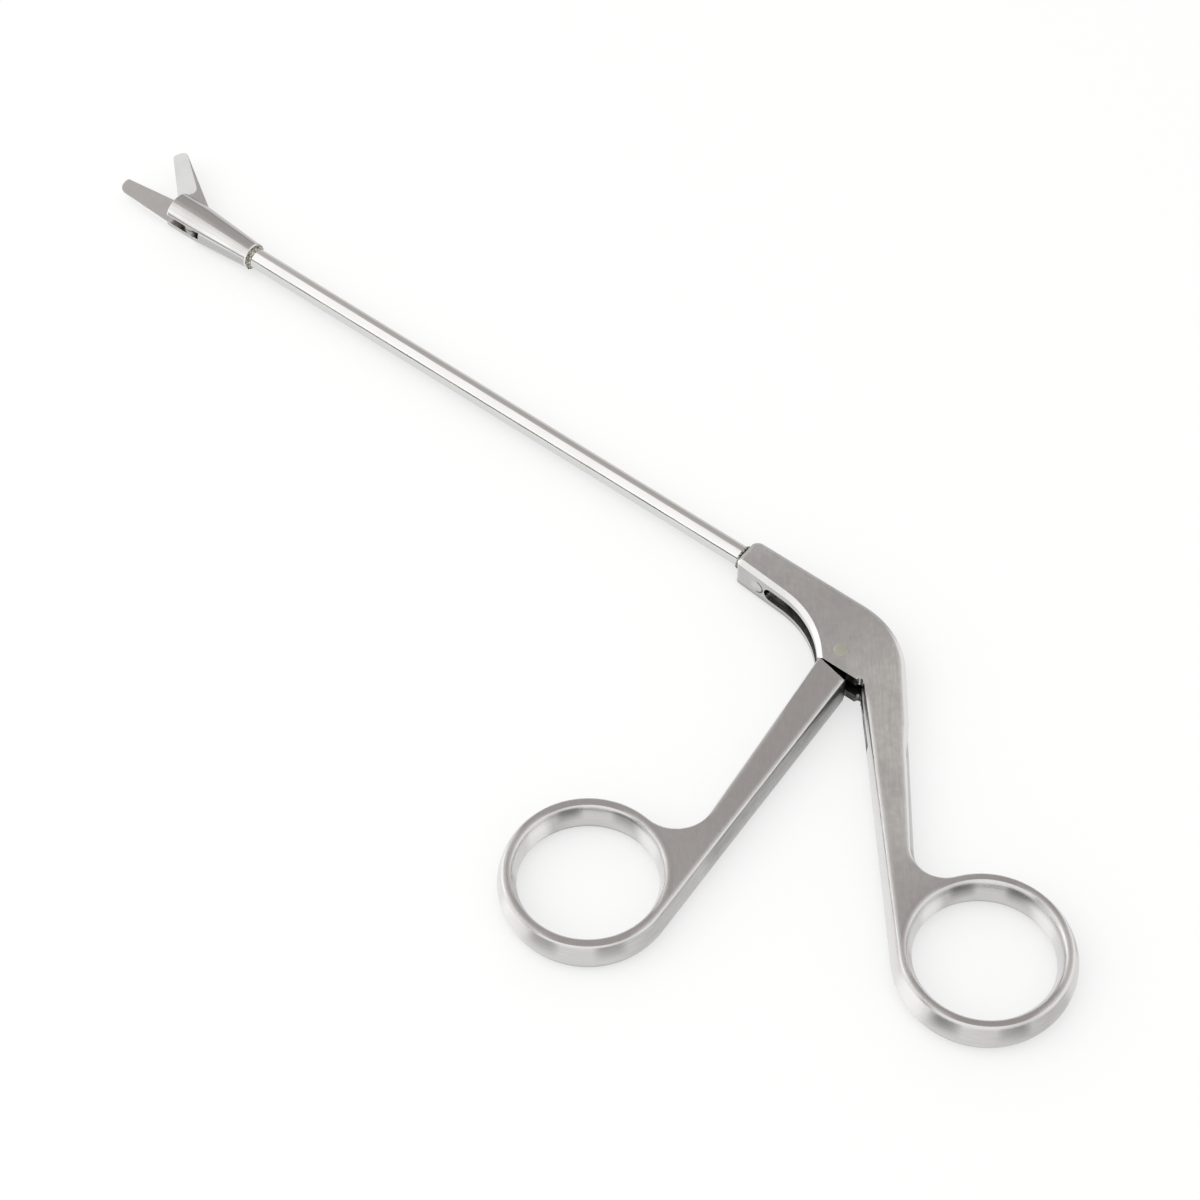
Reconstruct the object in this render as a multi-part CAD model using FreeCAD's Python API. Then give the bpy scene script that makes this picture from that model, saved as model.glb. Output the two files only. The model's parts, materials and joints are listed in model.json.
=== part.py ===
import FreeCAD, Part
import math
import os

from FreeCAD import Vector

# Nasal scissors lying on their side. Millimetres, +Z up, resting plane z = 0.
# +X runs along the shaft to the tip and +Y points to the finger lever. The origin
# lies under the shaft axis, beside the handle pivot.

# Shaft line
working_length = 130.0      # nose face to the tip of the fixed blade
nose_x = 22.6               # nose face, ahead of the handle pivot
body_thickness = 6.2        # pistol body, shank and rear ring
seat_gap = 0.01             # radial gap of pressed, riveted and brazed joints
running_gap = 0.06          # radial gap of turning pins
side_gap = 0.10             # gap beside each moving plate in its slot

# Pistol body, seen from above
body_back = 2.45            # back wall, from the shaft axis
nose_front = 2.9            # front wall at the nose
nose_back_round = 1.3
nose_front_round = 0.8
back_bend_round = 15.0      # convex bend from the back wall into the shank
front_bend = (6.9, 4.2)     # corner of the concave front edge before rounding
front_bend_round = 15.0
shoulder_x = 2.2            # front end of the shoulder that the lever meets
shoulder_y = 9.7
shank_inner_x = -5.9        # where the shank's inner wall leaves the shoulder
body_bevel = 0.7
notch_radius = 0.55         # round relief where the shoulder meets the shank
bend_run = 4.0              # straight outer wall of the body past the bend
blend_run = 13.0            # over this length the body wall sinks into the shank
blend_width = 2.5

# Finger rings and shanks
ring_throat = 21.0          # smallest opening, at half height
ring_wall = 3.1             # radial thickness at half height
rear_ring = (-46.6, 36.4)
rear_root_outer = (-13.3, 8.0)
rear_end_outer = (-30.2, 30.3)
rear_crotch = 4.2           # concave round between shank and ring
rear_bulge = 0.9            # how far the walls of the ring bulge past its flat band
shank_lead = 2.4            # how far the shank reaches into the pistol body
root_lean = 0.84            # run of its inner wall there, along the shaft per unit across
shank_step = 0.04           # the shank wall lies this much inside the body wall
outer_bulge = 0.75
inner_bulge = 0.3
edge_break = 0.2            # narrow bright bevel along shanks and rings

# Finger lever
lever_thickness = 5.9
pivot_drop = 6.8            # handle pivot below the shaft axis
lever_ring = (6.6, 61.05)
lever_ring_wall = 2.85
lever_shoulder_gap = 0.15   # open stop, at the front corner of the shoulder
lever_root_width = 6.15
lever_root_rise = 1.1       # slope of the lever's shoulder over that width
lever_end_outer = (-1.0, 41.0)
lever_crotch = 5.6
lever_bulge = 0.68
tongue_round = 2.9
tongue_sink = 3.0           # how far the tongue reaches into the lever's shank
fork_thickness = 1.2
fork_width = 3.0
fork_reach = 1.0            # tines past the shaft axis
handle_travel = 14.0        # degrees, open to closed
rivet_diameter = 2.0

# Slot in the pistol body
slot_height = 2.7
slot_floor = 1.4            # past the shaft axis, towards the back wall
slot_front_x = 16.8
slot_rear = (-4.5, -6.9)    # x of the rear slot wall at its floor and by the shoulder
slot_runout = (-13.2, 17.6)
slot_bend_rise = 1.1        # the rear slot wall turns this far before the shoulder

# Shaft tube and lock pin
tube_outer = 3.4
tube_inner = 2.2
tube_rear_x = 13.4
lock_pin_diameter = 2.0
lock_pin_setback = 4.3      # behind the nose face
lock_pin_bite = 0.4         # depth of the pin's pocket in the tube wall

# Drive rod with its rear yoke and front link
rod_diameter = 1.8
yoke_pin_diameter = 1.4
cheek_thickness = 0.55
cheek_round = 1.1
yoke_web_start = 2.0        # from the yoke pin
yoke_web = 1.4
rod_socket_floor = 0.3
head_diameter = 2.8
head_length = 2.6
head_floor = 0.6
head_setback = 0.8          # rear face of the link's head, in front of the tube end at rest
link_length = 6.87          # that rear face to the drive pin
tongue_plate = 1.05
link_front = 1.1            # link past the drive pin
pin_clearance = 0.2         # between the link and the blade's pivot pin
link_outer = 0.65
drive_pin_diameter = 1.0

# Jaw housing and blades
housing_length = 28.2       # collar to blade tip
collar_wall = 0.55          # collar, from the tube's outside
collar_round = 0.25
mouth_radius = 3.05
flare_setback = 17.1        # end of the cone, behind the blade tip
ear_setback = 11.4
ear_round_back = 2.2
ear_round_front = 1.3
jaw_slot_setback = 18.4
jaw_slot_height = 1.32
bore_run = 0.8              # the link's bore goes on this far past its head, blades closed
blade_pivot_setback = 15.7
blade_pivot_y = 1.25
blade_travel = 37.0         # degrees, open to closed
blade_thickness = 1.2
blade_pin_diameter = 1.5
blade_land = 0.35           # thickness left along the cutting edge
blade_facet_edge = -2.3     # top line of the ground facet, from the pivot
blade_facet_start = 6.0
blade_facet_round = 1.3     # where the grinding wheel ran out
blade_edge_y = 1.2          # cutting edge, from the pivot, blades closed
blade_tip = (-2.25, 0.1)    # the two tip corners, from the pivot, blades closed
blade_tip_rounds = (1.1, 0.5)
blade_belly = (5.0, 1.28)   # where the cutting edge starts
blade_shoulder_x = 2.0
heel_wall = 0.55            # round the pivot pin
tail_wall = 0.62            # past the drive pin
tail_lean = 0.6
tail_round = 1.1
fixed_tip = (-0.1, 2.6)     # the two tip corners, from the shaft axis
fixed_tip_rounds = (0.45, 1.9)
fixed_tip_thickness = 1.6
fixed_root_lead = 1.7       # where the back of the fixed blade leaves the housing wall
fixed_waist = (1.1, -1.35)  # back corner, past the ear's front
fixed_waist_round = 1.0
braze_length = 0.8
braze_crown = (0.6, 0.55)   # bulge of the fillet, as shares of its length and height

# Derived places
mid_z = body_thickness / 2
tip_x = nose_x + working_length
collar_x = tip_x - housing_length
collar_radius = tube_outer / 2 + collar_wall
flare_end_x = tip_x - flare_setback
ear_end_x = tip_x - ear_setback
jaw_slot_start_x = tip_x - jaw_slot_setback
blade_pivot_x = tip_x - blade_pivot_setback
ring_radius = ring_throat / 2
half_handle = math.radians(handle_travel / 2)
half_blade = math.radians(blade_travel / 2)
stroke = 2 * pivot_drop * math.tan(half_handle)
drive_arm = stroke / (2 * math.tan(half_blade))
yoke_pin_x = -stroke / 2
drive_pin_x = blade_pivot_x - stroke / 2
drive_pin_y = blade_pivot_y - drive_arm
link_inner = blade_pivot_y - blade_pin_diameter / 2 - pin_clearance
cheek_inner = fork_thickness / 2 + side_gap
cheek_outer = cheek_inner + cheek_thickness
head_rear_x = drive_pin_x - link_length
head_front_x = head_rear_x + head_length
tube_front_x = head_rear_x - head_setback
blade_z = mid_z + (jaw_slot_height - blade_thickness) / 2
link_top = mid_z - side_gap
link_bottom = link_top - tongue_plate
far = 400.0


def unit(v):
    return v.normalize()


def outline(corners, z=0.0):
    """Closed wire through corners (x, y, radius); a radius above zero rounds the corner."""
    edges = []
    ends = []
    count = len(corners)
    for i in range(count):
        x, y, radius = corners[i]
        here = Vector(x, y, z)
        before = Vector(corners[i - 1][0], corners[i - 1][1], z)
        after = Vector(corners[(i + 1) % count][0], corners[(i + 1) % count][1], z)
        back = unit(before - here)
        on = unit(after - here)
        if radius <= 0:
            ends.append((here, here))
            continue
        half = back.getAngle(on) / 2
        reach = radius / math.tan(half)
        bisector = unit(back + on)
        crown = here + bisector * (radius / math.sin(half) - radius)
        start = here + back * reach
        stop = here + on * reach
        edges.append((i, Part.Arc(start, crown, stop).toShape()))
        ends.append((start, stop))
    arcs = dict(edges)
    path = []
    for i in range(count):
        if i in arcs:
            path.append(arcs[i])
        start = ends[i][1]
        stop = ends[(i + 1) % count][0]
        if start.distanceToPoint(stop) > 1e-6:
            path.append(Part.LineSegment(start, stop).toShape())
    return Part.Wire(path)


def plate(corners, low, high):
    return Part.Face(outline(corners, low)).extrude(Vector(0, 0, high - low))


def box(x0, x1, y0, y1, z0, z1):
    return Part.makeBox(x1 - x0, y1 - y0, z1 - z0, Vector(x0, y0, z0))


def upright(x, y, radius, low, high):
    return Part.makeCylinder(radius, high - low, Vector(x, y, low), Vector(0, 0, 1))


def along_shaft(radius, start, stop):
    return Part.makeCylinder(radius, stop - start, Vector(start, 0, mid_z), Vector(1, 0, 0))


def tangent_point(point, centre, radius, turn):
    """Where the line from point touches the circle; turn is +1 or -1 for its side."""
    to_centre = centre - point
    distance = to_centre.Length
    angle = turn * math.asin(radius / distance)
    length = math.sqrt(distance ** 2 - radius ** 2)
    heading = math.atan2(to_centre.y, to_centre.x) + angle
    return point + Vector(math.cos(heading), math.sin(heading), 0) * length


def grip_wire(grip, share, extra, z):
    """Outline of shank and ring. share is how much of the bulge is taken off its sides."""
    centre = Vector(*grip["ring"], 0)
    radius = grip["radius"] - grip["ring_bulge"] * share - extra
    root_in = Vector(*grip["root_in"], 0)
    root_out = Vector(*grip["root_out"], 0)
    end_out = Vector(*grip["end_out"], 0)
    across = unit(root_out - root_in)
    start = root_in + across * (grip["in_bulge"] * share + extra)
    touch = tangent_point(start, centre, radius, grip["turn"])
    along = unit(end_out - root_out)
    outward = Vector(along.y, -along.x, 0) * grip["turn"]
    inset = grip["out_bulge"] * share + extra
    line = root_out - outward * inset
    crotch = grip["crotch"] + inset
    offset = line + outward * crotch - centre
    lean = offset.dot(along)
    reach = -lean - math.sqrt(lean ** 2 - offset.dot(offset) + (radius + crotch) ** 2)
    hub = line + along * reach + outward * crotch
    leave = hub - outward * crotch
    join = centre + unit(hub - centre) * radius
    middle = hub + unit((leave - hub) + (join - hub)) * crotch
    far_side = centre + unit(centre - (touch + join) * 0.5) * radius
    edges = [
        Part.LineSegment(start, touch).toShape(),
        Part.Arc(touch, far_side, join).toShape(),
        Part.Arc(join, middle, leave).toShape(),
        Part.LineSegment(leave, line).toShape(),
        Part.LineSegment(line, start).toShape(),
    ]
    wire = Part.Wire(edges)
    wire.translate(Vector(0, 0, z))
    return wire


def grip_solid(grip):
    """Shank and finger ring with bulging walls, a flat band on each face and broken edges."""
    low, high = grip["low"], grip["high"]
    sections = [
        grip_wire(grip, 1, 0, low + edge_break),
        grip_wire(grip, 0, 0, (low + high) / 2),
        grip_wire(grip, 1, 0, high - edge_break),
    ]
    wall = Part.makeLoft(sections, True, False)
    under = Part.makeLoft([grip_wire(grip, 1, edge_break, low), sections[0]], True, True)
    over = Part.makeLoft([sections[2], grip_wire(grip, 1, edge_break, high)], True, True)
    solid = wall.fuse([under, over]).removeSplitter()
    return solid.cut(ring_bore(grip))


def ring_bore(grip):
    """The inside of a finger ring, narrowest at half height."""
    low, high = grip["low"], grip["high"]
    band = ring_radius + grip["ring_bulge"]
    rim = band + edge_break
    over = 1.0
    centre = Vector(*grip["ring"], 0)

    def at(r, z):
        return Vector(centre.x + r, centre.y, z)

    edges = [
        Part.LineSegment(at(0, low - over), at(rim, low - over)).toShape(),
        Part.LineSegment(at(rim, low - over), at(rim, low)).toShape(),
        Part.LineSegment(at(rim, low), at(band, low + edge_break)).toShape(),
        Part.Arc(
            at(band, low + edge_break), at(ring_radius, (low + high) / 2), at(band, high - edge_break)
        ).toShape(),
        Part.LineSegment(at(band, high - edge_break), at(rim, high)).toShape(),
        Part.LineSegment(at(rim, high), at(rim, high + over)).toShape(),
        Part.LineSegment(at(rim, high + over), at(0, high + over)).toShape(),
        Part.LineSegment(at(0, high + over), at(0, low - over)).toShape(),
    ]
    face = Part.Face(Part.Wire(edges))
    return face.revolve(Vector(centre.x, centre.y, 0), Vector(0, 0, 1), 360)


def pistol_block():
    """The body before it is slotted: nose, back bend and shoulder, bevelled above and below."""
    root = Vector(*rear_root_outer, 0)
    along = unit(Vector(*rear_end_outer, 0) - root)
    inward = Vector(along.y, -along.x, 0)
    bend_x = root.x - along.x / along.y * (root.y + body_back)
    foot = root + along * bend_run
    sunk = root + along * (bend_run + blend_run) + inward * (outer_bulge + 2 * edge_break)
    heart = sunk + inward * blend_width
    corners = [
        (nose_x, -body_back, nose_back_round),
        (bend_x, -body_back, back_bend_round),
        (foot.x, foot.y, 0),
        (sunk.x, sunk.y, 0),
        (heart.x, heart.y, 0),
        (shank_inner_x - blend_width, shoulder_y, 0),
        (shoulder_x, shoulder_y, 0),
        (front_bend[0], front_bend[1], front_bend_round),
        (nose_x, nose_front, nose_front_round),
    ]
    block = plate(corners, 0, body_thickness)
    rims = []
    for edge in block.Edges:
        level = edge.BoundBox.ZLength < 1e-6
        shoulder = abs(edge.BoundBox.Center.y - shoulder_y) < 1e-6
        buried = edge.BoundBox.YMax > heart.y - 1e-6
        if level and not shoulder and not buried:
            rims.append(edge)
    return block.makeChamfer(body_bevel, rims)


def body_slot():
    """Milled slot for the lever's tongue and the yoke, running out along the shank."""
    half = slot_height / 2
    end = slot_front_x - half
    corners = [
        (end, -slot_floor, 0),
        (slot_rear[0], -slot_floor, 0),
        (slot_rear[1], shoulder_y - slot_bend_rise, 0),
        (slot_runout[0], slot_runout[1], 0),
        (end, slot_runout[1], 0),
    ]
    slot = plate(corners, mid_z - half, mid_z + half)
    cutter = Part.makeCylinder(half, far, Vector(end, -slot_floor, mid_z), Vector(0, 1, 0))
    return slot.fuse(cutter)


def rear_grip():
    root_out = Vector(*rear_root_outer, 0)
    along = unit(Vector(*rear_end_outer, 0) - root_out)
    inward = Vector(along.y, -along.x, 0)
    step = inward * shank_step
    back = along * -shank_lead
    start = root_out + back + step
    finish = Vector(*rear_end_outer, 0) + step
    return {
        "ring": rear_ring,
        "radius": ring_radius + ring_wall,
        "root_in": (shank_inner_x + root_lean * shank_lead, shoulder_y - shank_lead),
        "root_out": (start.x, start.y),
        "end_out": (finish.x, finish.y),
        "turn": -1,
        "crotch": rear_crotch,
        "in_bulge": inner_bulge,
        "out_bulge": outer_bulge,
        "ring_bulge": rear_bulge,
        "low": 0.0,
        "high": body_thickness,
    }


def rear_handle():
    grip = rear_grip()
    handle = pistol_block().fuse(grip_solid(grip)).removeSplitter()
    relief = upright(shank_inner_x + notch_radius / 2, shoulder_y, notch_radius, -1, body_thickness + 1)
    handle = handle.cut(relief)
    handle = handle.cut(body_slot())
    handle = handle.cut(along_shaft(tube_outer / 2 + seat_gap, tube_rear_x, nose_x + 1))
    handle = handle.cut(upright(0, pivot_drop, rivet_diameter / 2 + seat_gap, -1, body_thickness + 1))
    return handle.cut(lock_pin_blank(lock_pin_diameter / 2 + seat_gap, far))


def lock_pin_blank(radius, length):
    floor = tube_outer / 2 - lock_pin_bite
    return Part.makeCylinder(
        radius, length, Vector(nose_x - lock_pin_setback, floor, mid_z), Vector(0, 1, 0)
    )


def tube_lock_pin():
    """Short pin through the nose wall into the tube wall, ground flush with the front wall."""
    return lock_pin_blank(lock_pin_diameter / 2, far).common(pistol_block())


def handle_pivot_rivet():
    return upright(0, pivot_drop, rivet_diameter / 2, 0, body_thickness)


def shaft_tube():
    tube = along_shaft(tube_outer / 2, tube_rear_x, tube_front_x)
    tube = tube.cut(along_shaft(tube_inner / 2, tube_rear_x - 1, tube_front_x + 1))
    return tube.cut(lock_pin_blank(lock_pin_diameter / 2 + seat_gap, far))


def lever_grip():
    low = mid_z - lever_thickness / 2
    front = shoulder_y + lever_shoulder_gap
    return {
        "ring": lever_ring,
        "radius": ring_radius + lever_ring_wall,
        "root_in": (shoulder_x - lever_root_width, front + lever_root_rise),
        "root_out": (shoulder_x, front),
        "end_out": lever_end_outer,
        "turn": 1,
        "crotch": lever_crotch,
        "in_bulge": inner_bulge,
        "out_bulge": inner_bulge,
        "ring_bulge": lever_bulge,
        "low": low,
        "high": low + lever_thickness,
    }


def finger_lever():
    """Ring, shank, tongue in the body slot and the fork that drives the yoke pin."""
    grip = lever_grip()
    half = slot_height / 2 - side_gap
    root_in = grip["root_in"]
    root_out = grip["root_out"]
    tongue = plate(
        [
            (root_in[0] + inner_bulge, root_in[1] + tongue_sink, 0),
            (-tongue_round, pivot_drop, 0),
            (tongue_round, pivot_drop, 0),
            (root_out[0] - 2 * inner_bulge, root_out[1] + tongue_sink, 0),
        ],
        mid_z - half,
        mid_z + half,
    )
    knuckle = upright(0, pivot_drop, tongue_round, mid_z - half, mid_z + half)
    arm = box(
        -fork_width / 2, fork_width / 2, -fork_reach, pivot_drop,
        mid_z - fork_thickness / 2, mid_z + fork_thickness / 2,
    )
    arm = arm.cut(fork_slot())
    arm.rotate(Vector(0, pivot_drop, 0), Vector(0, 0, 1), -handle_travel / 2)
    lever = grip_solid(grip).fuse([tongue, knuckle, arm]).removeSplitter()
    return lever.cut(upright(0, pivot_drop, rivet_diameter / 2 + running_gap, -1, body_thickness + 1))


def fork_slot():
    radius = yoke_pin_diameter / 2 + running_gap
    bottom = radius / 3
    gap = box(-radius, radius, -far, bottom, -far, far)
    return gap.fuse(upright(0, bottom, radius, -far, far))


def yoke_cheek(low, high):
    corners = [
        (yoke_pin_x - cheek_round, -cheek_round, cheek_round - seat_gap),
        (yoke_pin_x + yoke_web_start + yoke_web, -cheek_round, 0),
        (yoke_pin_x + yoke_web_start + yoke_web, cheek_round, 0),
        (yoke_pin_x - cheek_round, cheek_round, cheek_round - seat_gap),
    ]
    return plate(corners, low, high)


def rod_yoke():
    """Two cheeks that straddle the lever's fork, joined by a web with the rod's socket."""
    web_x = yoke_pin_x + yoke_web_start
    whole = yoke_cheek(mid_z - cheek_outer, mid_z + cheek_outer)
    mouth = box(-far, web_x, -far, far, mid_z - cheek_inner, mid_z + cheek_inner)
    yoke = whole.cut(mouth)
    yoke = yoke.cut(upright(yoke_pin_x, 0, yoke_pin_diameter / 2 + seat_gap, -1, body_thickness + 1))
    return yoke.cut(along_shaft(rod_diameter / 2 + seat_gap, web_x + rod_socket_floor, web_x + far))


def yoke_pin():
    return upright(yoke_pin_x, 0, yoke_pin_diameter / 2, mid_z - cheek_outer, mid_z + cheek_outer)


def drive_rod():
    start = yoke_pin_x + yoke_web_start + rod_socket_floor
    return along_shaft(rod_diameter / 2, start, head_front_x - head_floor)


def rod_link():
    """Round head brazed on the rod, with a flat tongue that carries the drive pin."""
    head = along_shaft(head_diameter / 2, head_rear_x, head_front_x)
    tongue = box(
        head_rear_x + head_length / 2, drive_pin_x + link_front,
        drive_pin_y - link_outer, link_inner, link_bottom, link_top,
    )
    link = head.fuse(tongue)
    socket = along_shaft(rod_diameter / 2 + seat_gap, head_rear_x - 1, head_front_x - head_floor)
    link = link.cut(socket)
    return link.cut(upright(drive_pin_x, drive_pin_y, drive_pin_diameter / 2 + seat_gap, -1, far))


def blade_drive_pin():
    top = blade_z + blade_thickness - side_gap
    return upright(drive_pin_x, drive_pin_y, drive_pin_diameter / 2, link_bottom, top)


def housing_envelope():
    """Flared round socket, from the collar to the ear."""
    profile = [
        Vector(collar_x, 0, mid_z),
        Vector(collar_x, 0, mid_z + collar_radius - collar_round),
        Vector(collar_x + collar_round, 0, mid_z + collar_radius),
        Vector(flare_end_x, 0, mid_z + mouth_radius),
        Vector(ear_end_x, 0, mid_z + mouth_radius),
        Vector(ear_end_x, 0, mid_z),
    ]
    face = Part.Face(Part.makePolygon(profile + profile[:1]))
    return face.revolve(Vector(0, 0, mid_z), Vector(1, 0, 0), 360)


def fixed_blade():
    """Lower blade: flat on top at the shaft's mid plane, half round and tapering below."""
    root = jaw_slot_start_x + 1
    corners = [
        (root, -mouth_radius - 1, 0),
        (ear_end_x - fixed_root_lead, -mouth_radius - 1, 0),
        (ear_end_x + fixed_waist[0], fixed_waist[1], fixed_waist_round),
        (tip_x, fixed_tip[0], fixed_tip_rounds[0]),
        (tip_x, fixed_tip[1], fixed_tip_rounds[1]),
        (ear_end_x, mouth_radius, 0),
        (root, mouth_radius + 1, 0),
    ]
    blade = plate(corners, mid_z - mouth_radius - 1, mid_z)
    blade = blade.common(along_shaft(mouth_radius, root, tip_x + 1))
    rise = math.atan((mouth_radius - fixed_tip_thickness) / (tip_x - ear_end_x))
    scoop = along_shaft(mouth_radius, ear_end_x - housing_length, tip_x + housing_length)
    scoop.rotate(Vector(ear_end_x, 0, mid_z), Vector(0, 1, 0), -math.degrees(rise))
    return blade.common(scoop)


def jaw_housing():
    """Socket for the tube, slotted ear above and the fixed blade below, all one piece."""
    housing = housing_envelope()
    housing = housing.cut(box(ear_end_x - 3, far, -far, far, -far, mid_z))
    ear = plate(
        [
            (collar_x - 1, -far, 0),
            (ear_end_x, -mouth_radius, ear_round_back),
            (ear_end_x, mouth_radius, ear_round_front),
            (collar_x - 1, far, 0),
        ],
        -far,
        far,
    )
    housing = housing.common(ear).fuse(fixed_blade()).removeSplitter()
    housing = housing.cut(box(jaw_slot_start_x, far, -far, far, mid_z, mid_z + jaw_slot_height))
    housing = housing.cut(along_shaft(tube_outer / 2 + seat_gap, collar_x - 1, tube_front_x))
    passage = head_diameter / 2 + 2 * side_gap
    housing = housing.cut(along_shaft(passage, collar_x - 1, head_front_x + stroke + bore_run))
    groove = box(
        head_rear_x + head_length / 2 - 4 * side_gap,
        drive_pin_x + stroke + link_front + 4 * side_gap,
        drive_pin_y - link_outer - side_gap,
        link_inner + side_gap,
        link_bottom - side_gap,
        mid_z + side_gap,
    )
    housing = housing.cut(groove)
    return housing.cut(
        upright(blade_pivot_x, blade_pivot_y, blade_pin_diameter / 2 + seat_gap, -1, body_thickness + 1)
    )


def blade_pivot_pin():
    """Pin through ear, blade and lower wall, ground flush with the round housing."""
    pin = upright(blade_pivot_x, blade_pivot_y, blade_pin_diameter / 2, -1, body_thickness + 1)
    return pin.common(along_shaft(mouth_radius, flare_end_x - 2, ear_end_x))


def housing_braze():
    """Braze fillet between the tube and the collar of the housing."""
    inner = tube_outer / 2 + seat_gap
    profile = [
        Vector(collar_x - braze_length, 0, mid_z + inner),
        Vector(
            collar_x - braze_length * braze_crown[0], 0,
            mid_z + inner + (collar_radius - inner) * braze_crown[1],
        ),
        Vector(collar_x - seat_gap, 0, mid_z + collar_radius - collar_round / 2),
        Vector(collar_x - seat_gap, 0, mid_z + inner),
    ]
    face = Part.Face(Part.makePolygon(profile + profile[:1]))
    return face.revolve(Vector(0, 0, mid_z), Vector(1, 0, 0), 360)


def moving_blade():
    """Upper blade, drawn closed about its pivot and then opened to the rest position."""
    length = tip_x - blade_pivot_x
    heel = blade_pin_diameter / 2 + heel_wall
    tail = drive_arm + drive_pin_diameter / 2 + tail_wall
    corners = [
        (-heel, heel, heel - side_gap),
        (-tail_lean, -tail, tail_round),
        (length, blade_tip[0], blade_tip_rounds[0]),
        (length, blade_tip[1], blade_tip_rounds[1]),
        (blade_belly[0], blade_belly[1], 0),
        (blade_shoulder_x, heel, 0),
    ]
    blade = plate(corners, blade_z, blade_z + blade_thickness)
    blade = blade.cut(upright(0, 0, blade_pin_diameter / 2 + running_gap, -1, far))
    closed_pin = Vector(stroke / 2, -drive_arm, 0)
    play = drive_arm / math.cos(half_blade) - drive_arm + running_gap
    radius = drive_pin_diameter / 2 + running_gap
    slot = upright(0, -drive_arm, radius, -1, far)
    slot = slot.fuse(upright(0, -drive_arm - play, radius, -1, far))
    slot = slot.fuse(box(-radius, radius, -drive_arm - play, -drive_arm, -1, far))
    slot.rotate(Vector(0, 0, 0), Vector(0, 0, 1), math.degrees(math.atan2(closed_pin.x, drive_arm)))
    blade = blade.cut(slot)
    blade = blade.cut(facet_cutter(length))
    blade.rotate(Vector(0, 0, 0), Vector(0, 0, 1), -blade_travel)
    blade.translate(Vector(blade_pivot_x, blade_pivot_y, 0))
    return blade


def facet_cutter(length):
    """Removes the ground facet from the strip by the spine down to the cutting edge."""
    top = blade_z + blade_thickness
    fall = blade_thickness - blade_land
    tilt = math.degrees(math.atan(fall / (blade_edge_y - blade_facet_edge)))
    cutter = plate(
        [
            (blade_facet_start, 0, blade_facet_round),
            (2 * length, 0, 0),
            (2 * length, length, 0),
            (blade_facet_start, length, 0),
        ],
        0,
        body_thickness,
    )
    cutter.rotate(Vector(0, 0, 0), Vector(1, 0, 0), -tilt)
    cutter.translate(Vector(0, blade_facet_edge, top))
    return cutter


pieces = {
    "rear_handle": rear_handle,
    "handle_pivot_rivet": handle_pivot_rivet,
    "shaft_tube": shaft_tube,
    "tube_lock_pin": tube_lock_pin,
    "jaw_housing": jaw_housing,
    "housing_braze": housing_braze,
    "blade_pivot_pin": blade_pivot_pin,
    "finger_lever": finger_lever,
    "drive_rod": drive_rod,
    "rod_yoke": rod_yoke,
    "yoke_pin": yoke_pin,
    "rod_link": rod_link,
    "blade_drive_pin": blade_drive_pin,
    "moving_blade": moving_blade,
}

os.makedirs("parts", exist_ok=True)
for name, make in pieces.items():
    shape = make()
    shape.exportStep("parts/" + name + ".step")
    print(name, len(shape.Solids), "solids", round(shape.Volume, 2), "mm3", "valid", shape.isValid())
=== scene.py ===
import json
import math

import bmesh
import bpy
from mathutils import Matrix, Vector

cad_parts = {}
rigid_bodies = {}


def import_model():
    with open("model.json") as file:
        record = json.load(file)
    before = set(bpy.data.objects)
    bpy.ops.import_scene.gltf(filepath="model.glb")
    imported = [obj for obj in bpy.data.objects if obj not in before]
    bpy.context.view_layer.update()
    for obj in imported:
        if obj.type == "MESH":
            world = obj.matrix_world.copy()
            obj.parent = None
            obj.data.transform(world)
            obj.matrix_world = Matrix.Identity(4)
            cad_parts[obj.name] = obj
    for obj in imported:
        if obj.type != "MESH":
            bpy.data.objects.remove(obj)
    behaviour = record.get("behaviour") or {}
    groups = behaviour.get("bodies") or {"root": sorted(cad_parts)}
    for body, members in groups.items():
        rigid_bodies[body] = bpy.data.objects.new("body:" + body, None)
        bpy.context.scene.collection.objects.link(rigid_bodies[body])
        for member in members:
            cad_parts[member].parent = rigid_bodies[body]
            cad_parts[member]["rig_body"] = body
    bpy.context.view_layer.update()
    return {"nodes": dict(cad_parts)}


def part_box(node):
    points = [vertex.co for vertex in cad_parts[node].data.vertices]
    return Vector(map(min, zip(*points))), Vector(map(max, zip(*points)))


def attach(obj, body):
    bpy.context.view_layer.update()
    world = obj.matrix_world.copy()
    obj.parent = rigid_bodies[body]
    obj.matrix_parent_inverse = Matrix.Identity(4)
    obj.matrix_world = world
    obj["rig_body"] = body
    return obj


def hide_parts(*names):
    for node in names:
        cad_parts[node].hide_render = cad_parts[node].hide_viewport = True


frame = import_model()

# The table: a plain white sheet under the scissors, seen from the handle side at a steep
# angle and lit by one round soft lamp. The steel mirrors a white room, not the lamp: a pale
# ceiling over walls that have a bright band and a thin dark gap in them.
view_target = Vector((0.0373, 0.0184, 0.0))
view_place = Vector((-0.1485, 0.2593, 0.4345))
view = bpy.data.cameras.new("table_view")
view.lens = 102.0
view.sensor_width = 36.0
view.clip_start = 0.02
viewer = bpy.data.objects.new("table_view", view)
viewer.location = view_place
viewer.rotation_euler = (view_target - view_place).to_track_quat("-Z", "Y").to_euler()
bpy.context.scene.collection.objects.link(viewer)
bpy.context.scene.camera = viewer
bpy.context.scene.view_settings.view_transform = "Standard"

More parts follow.
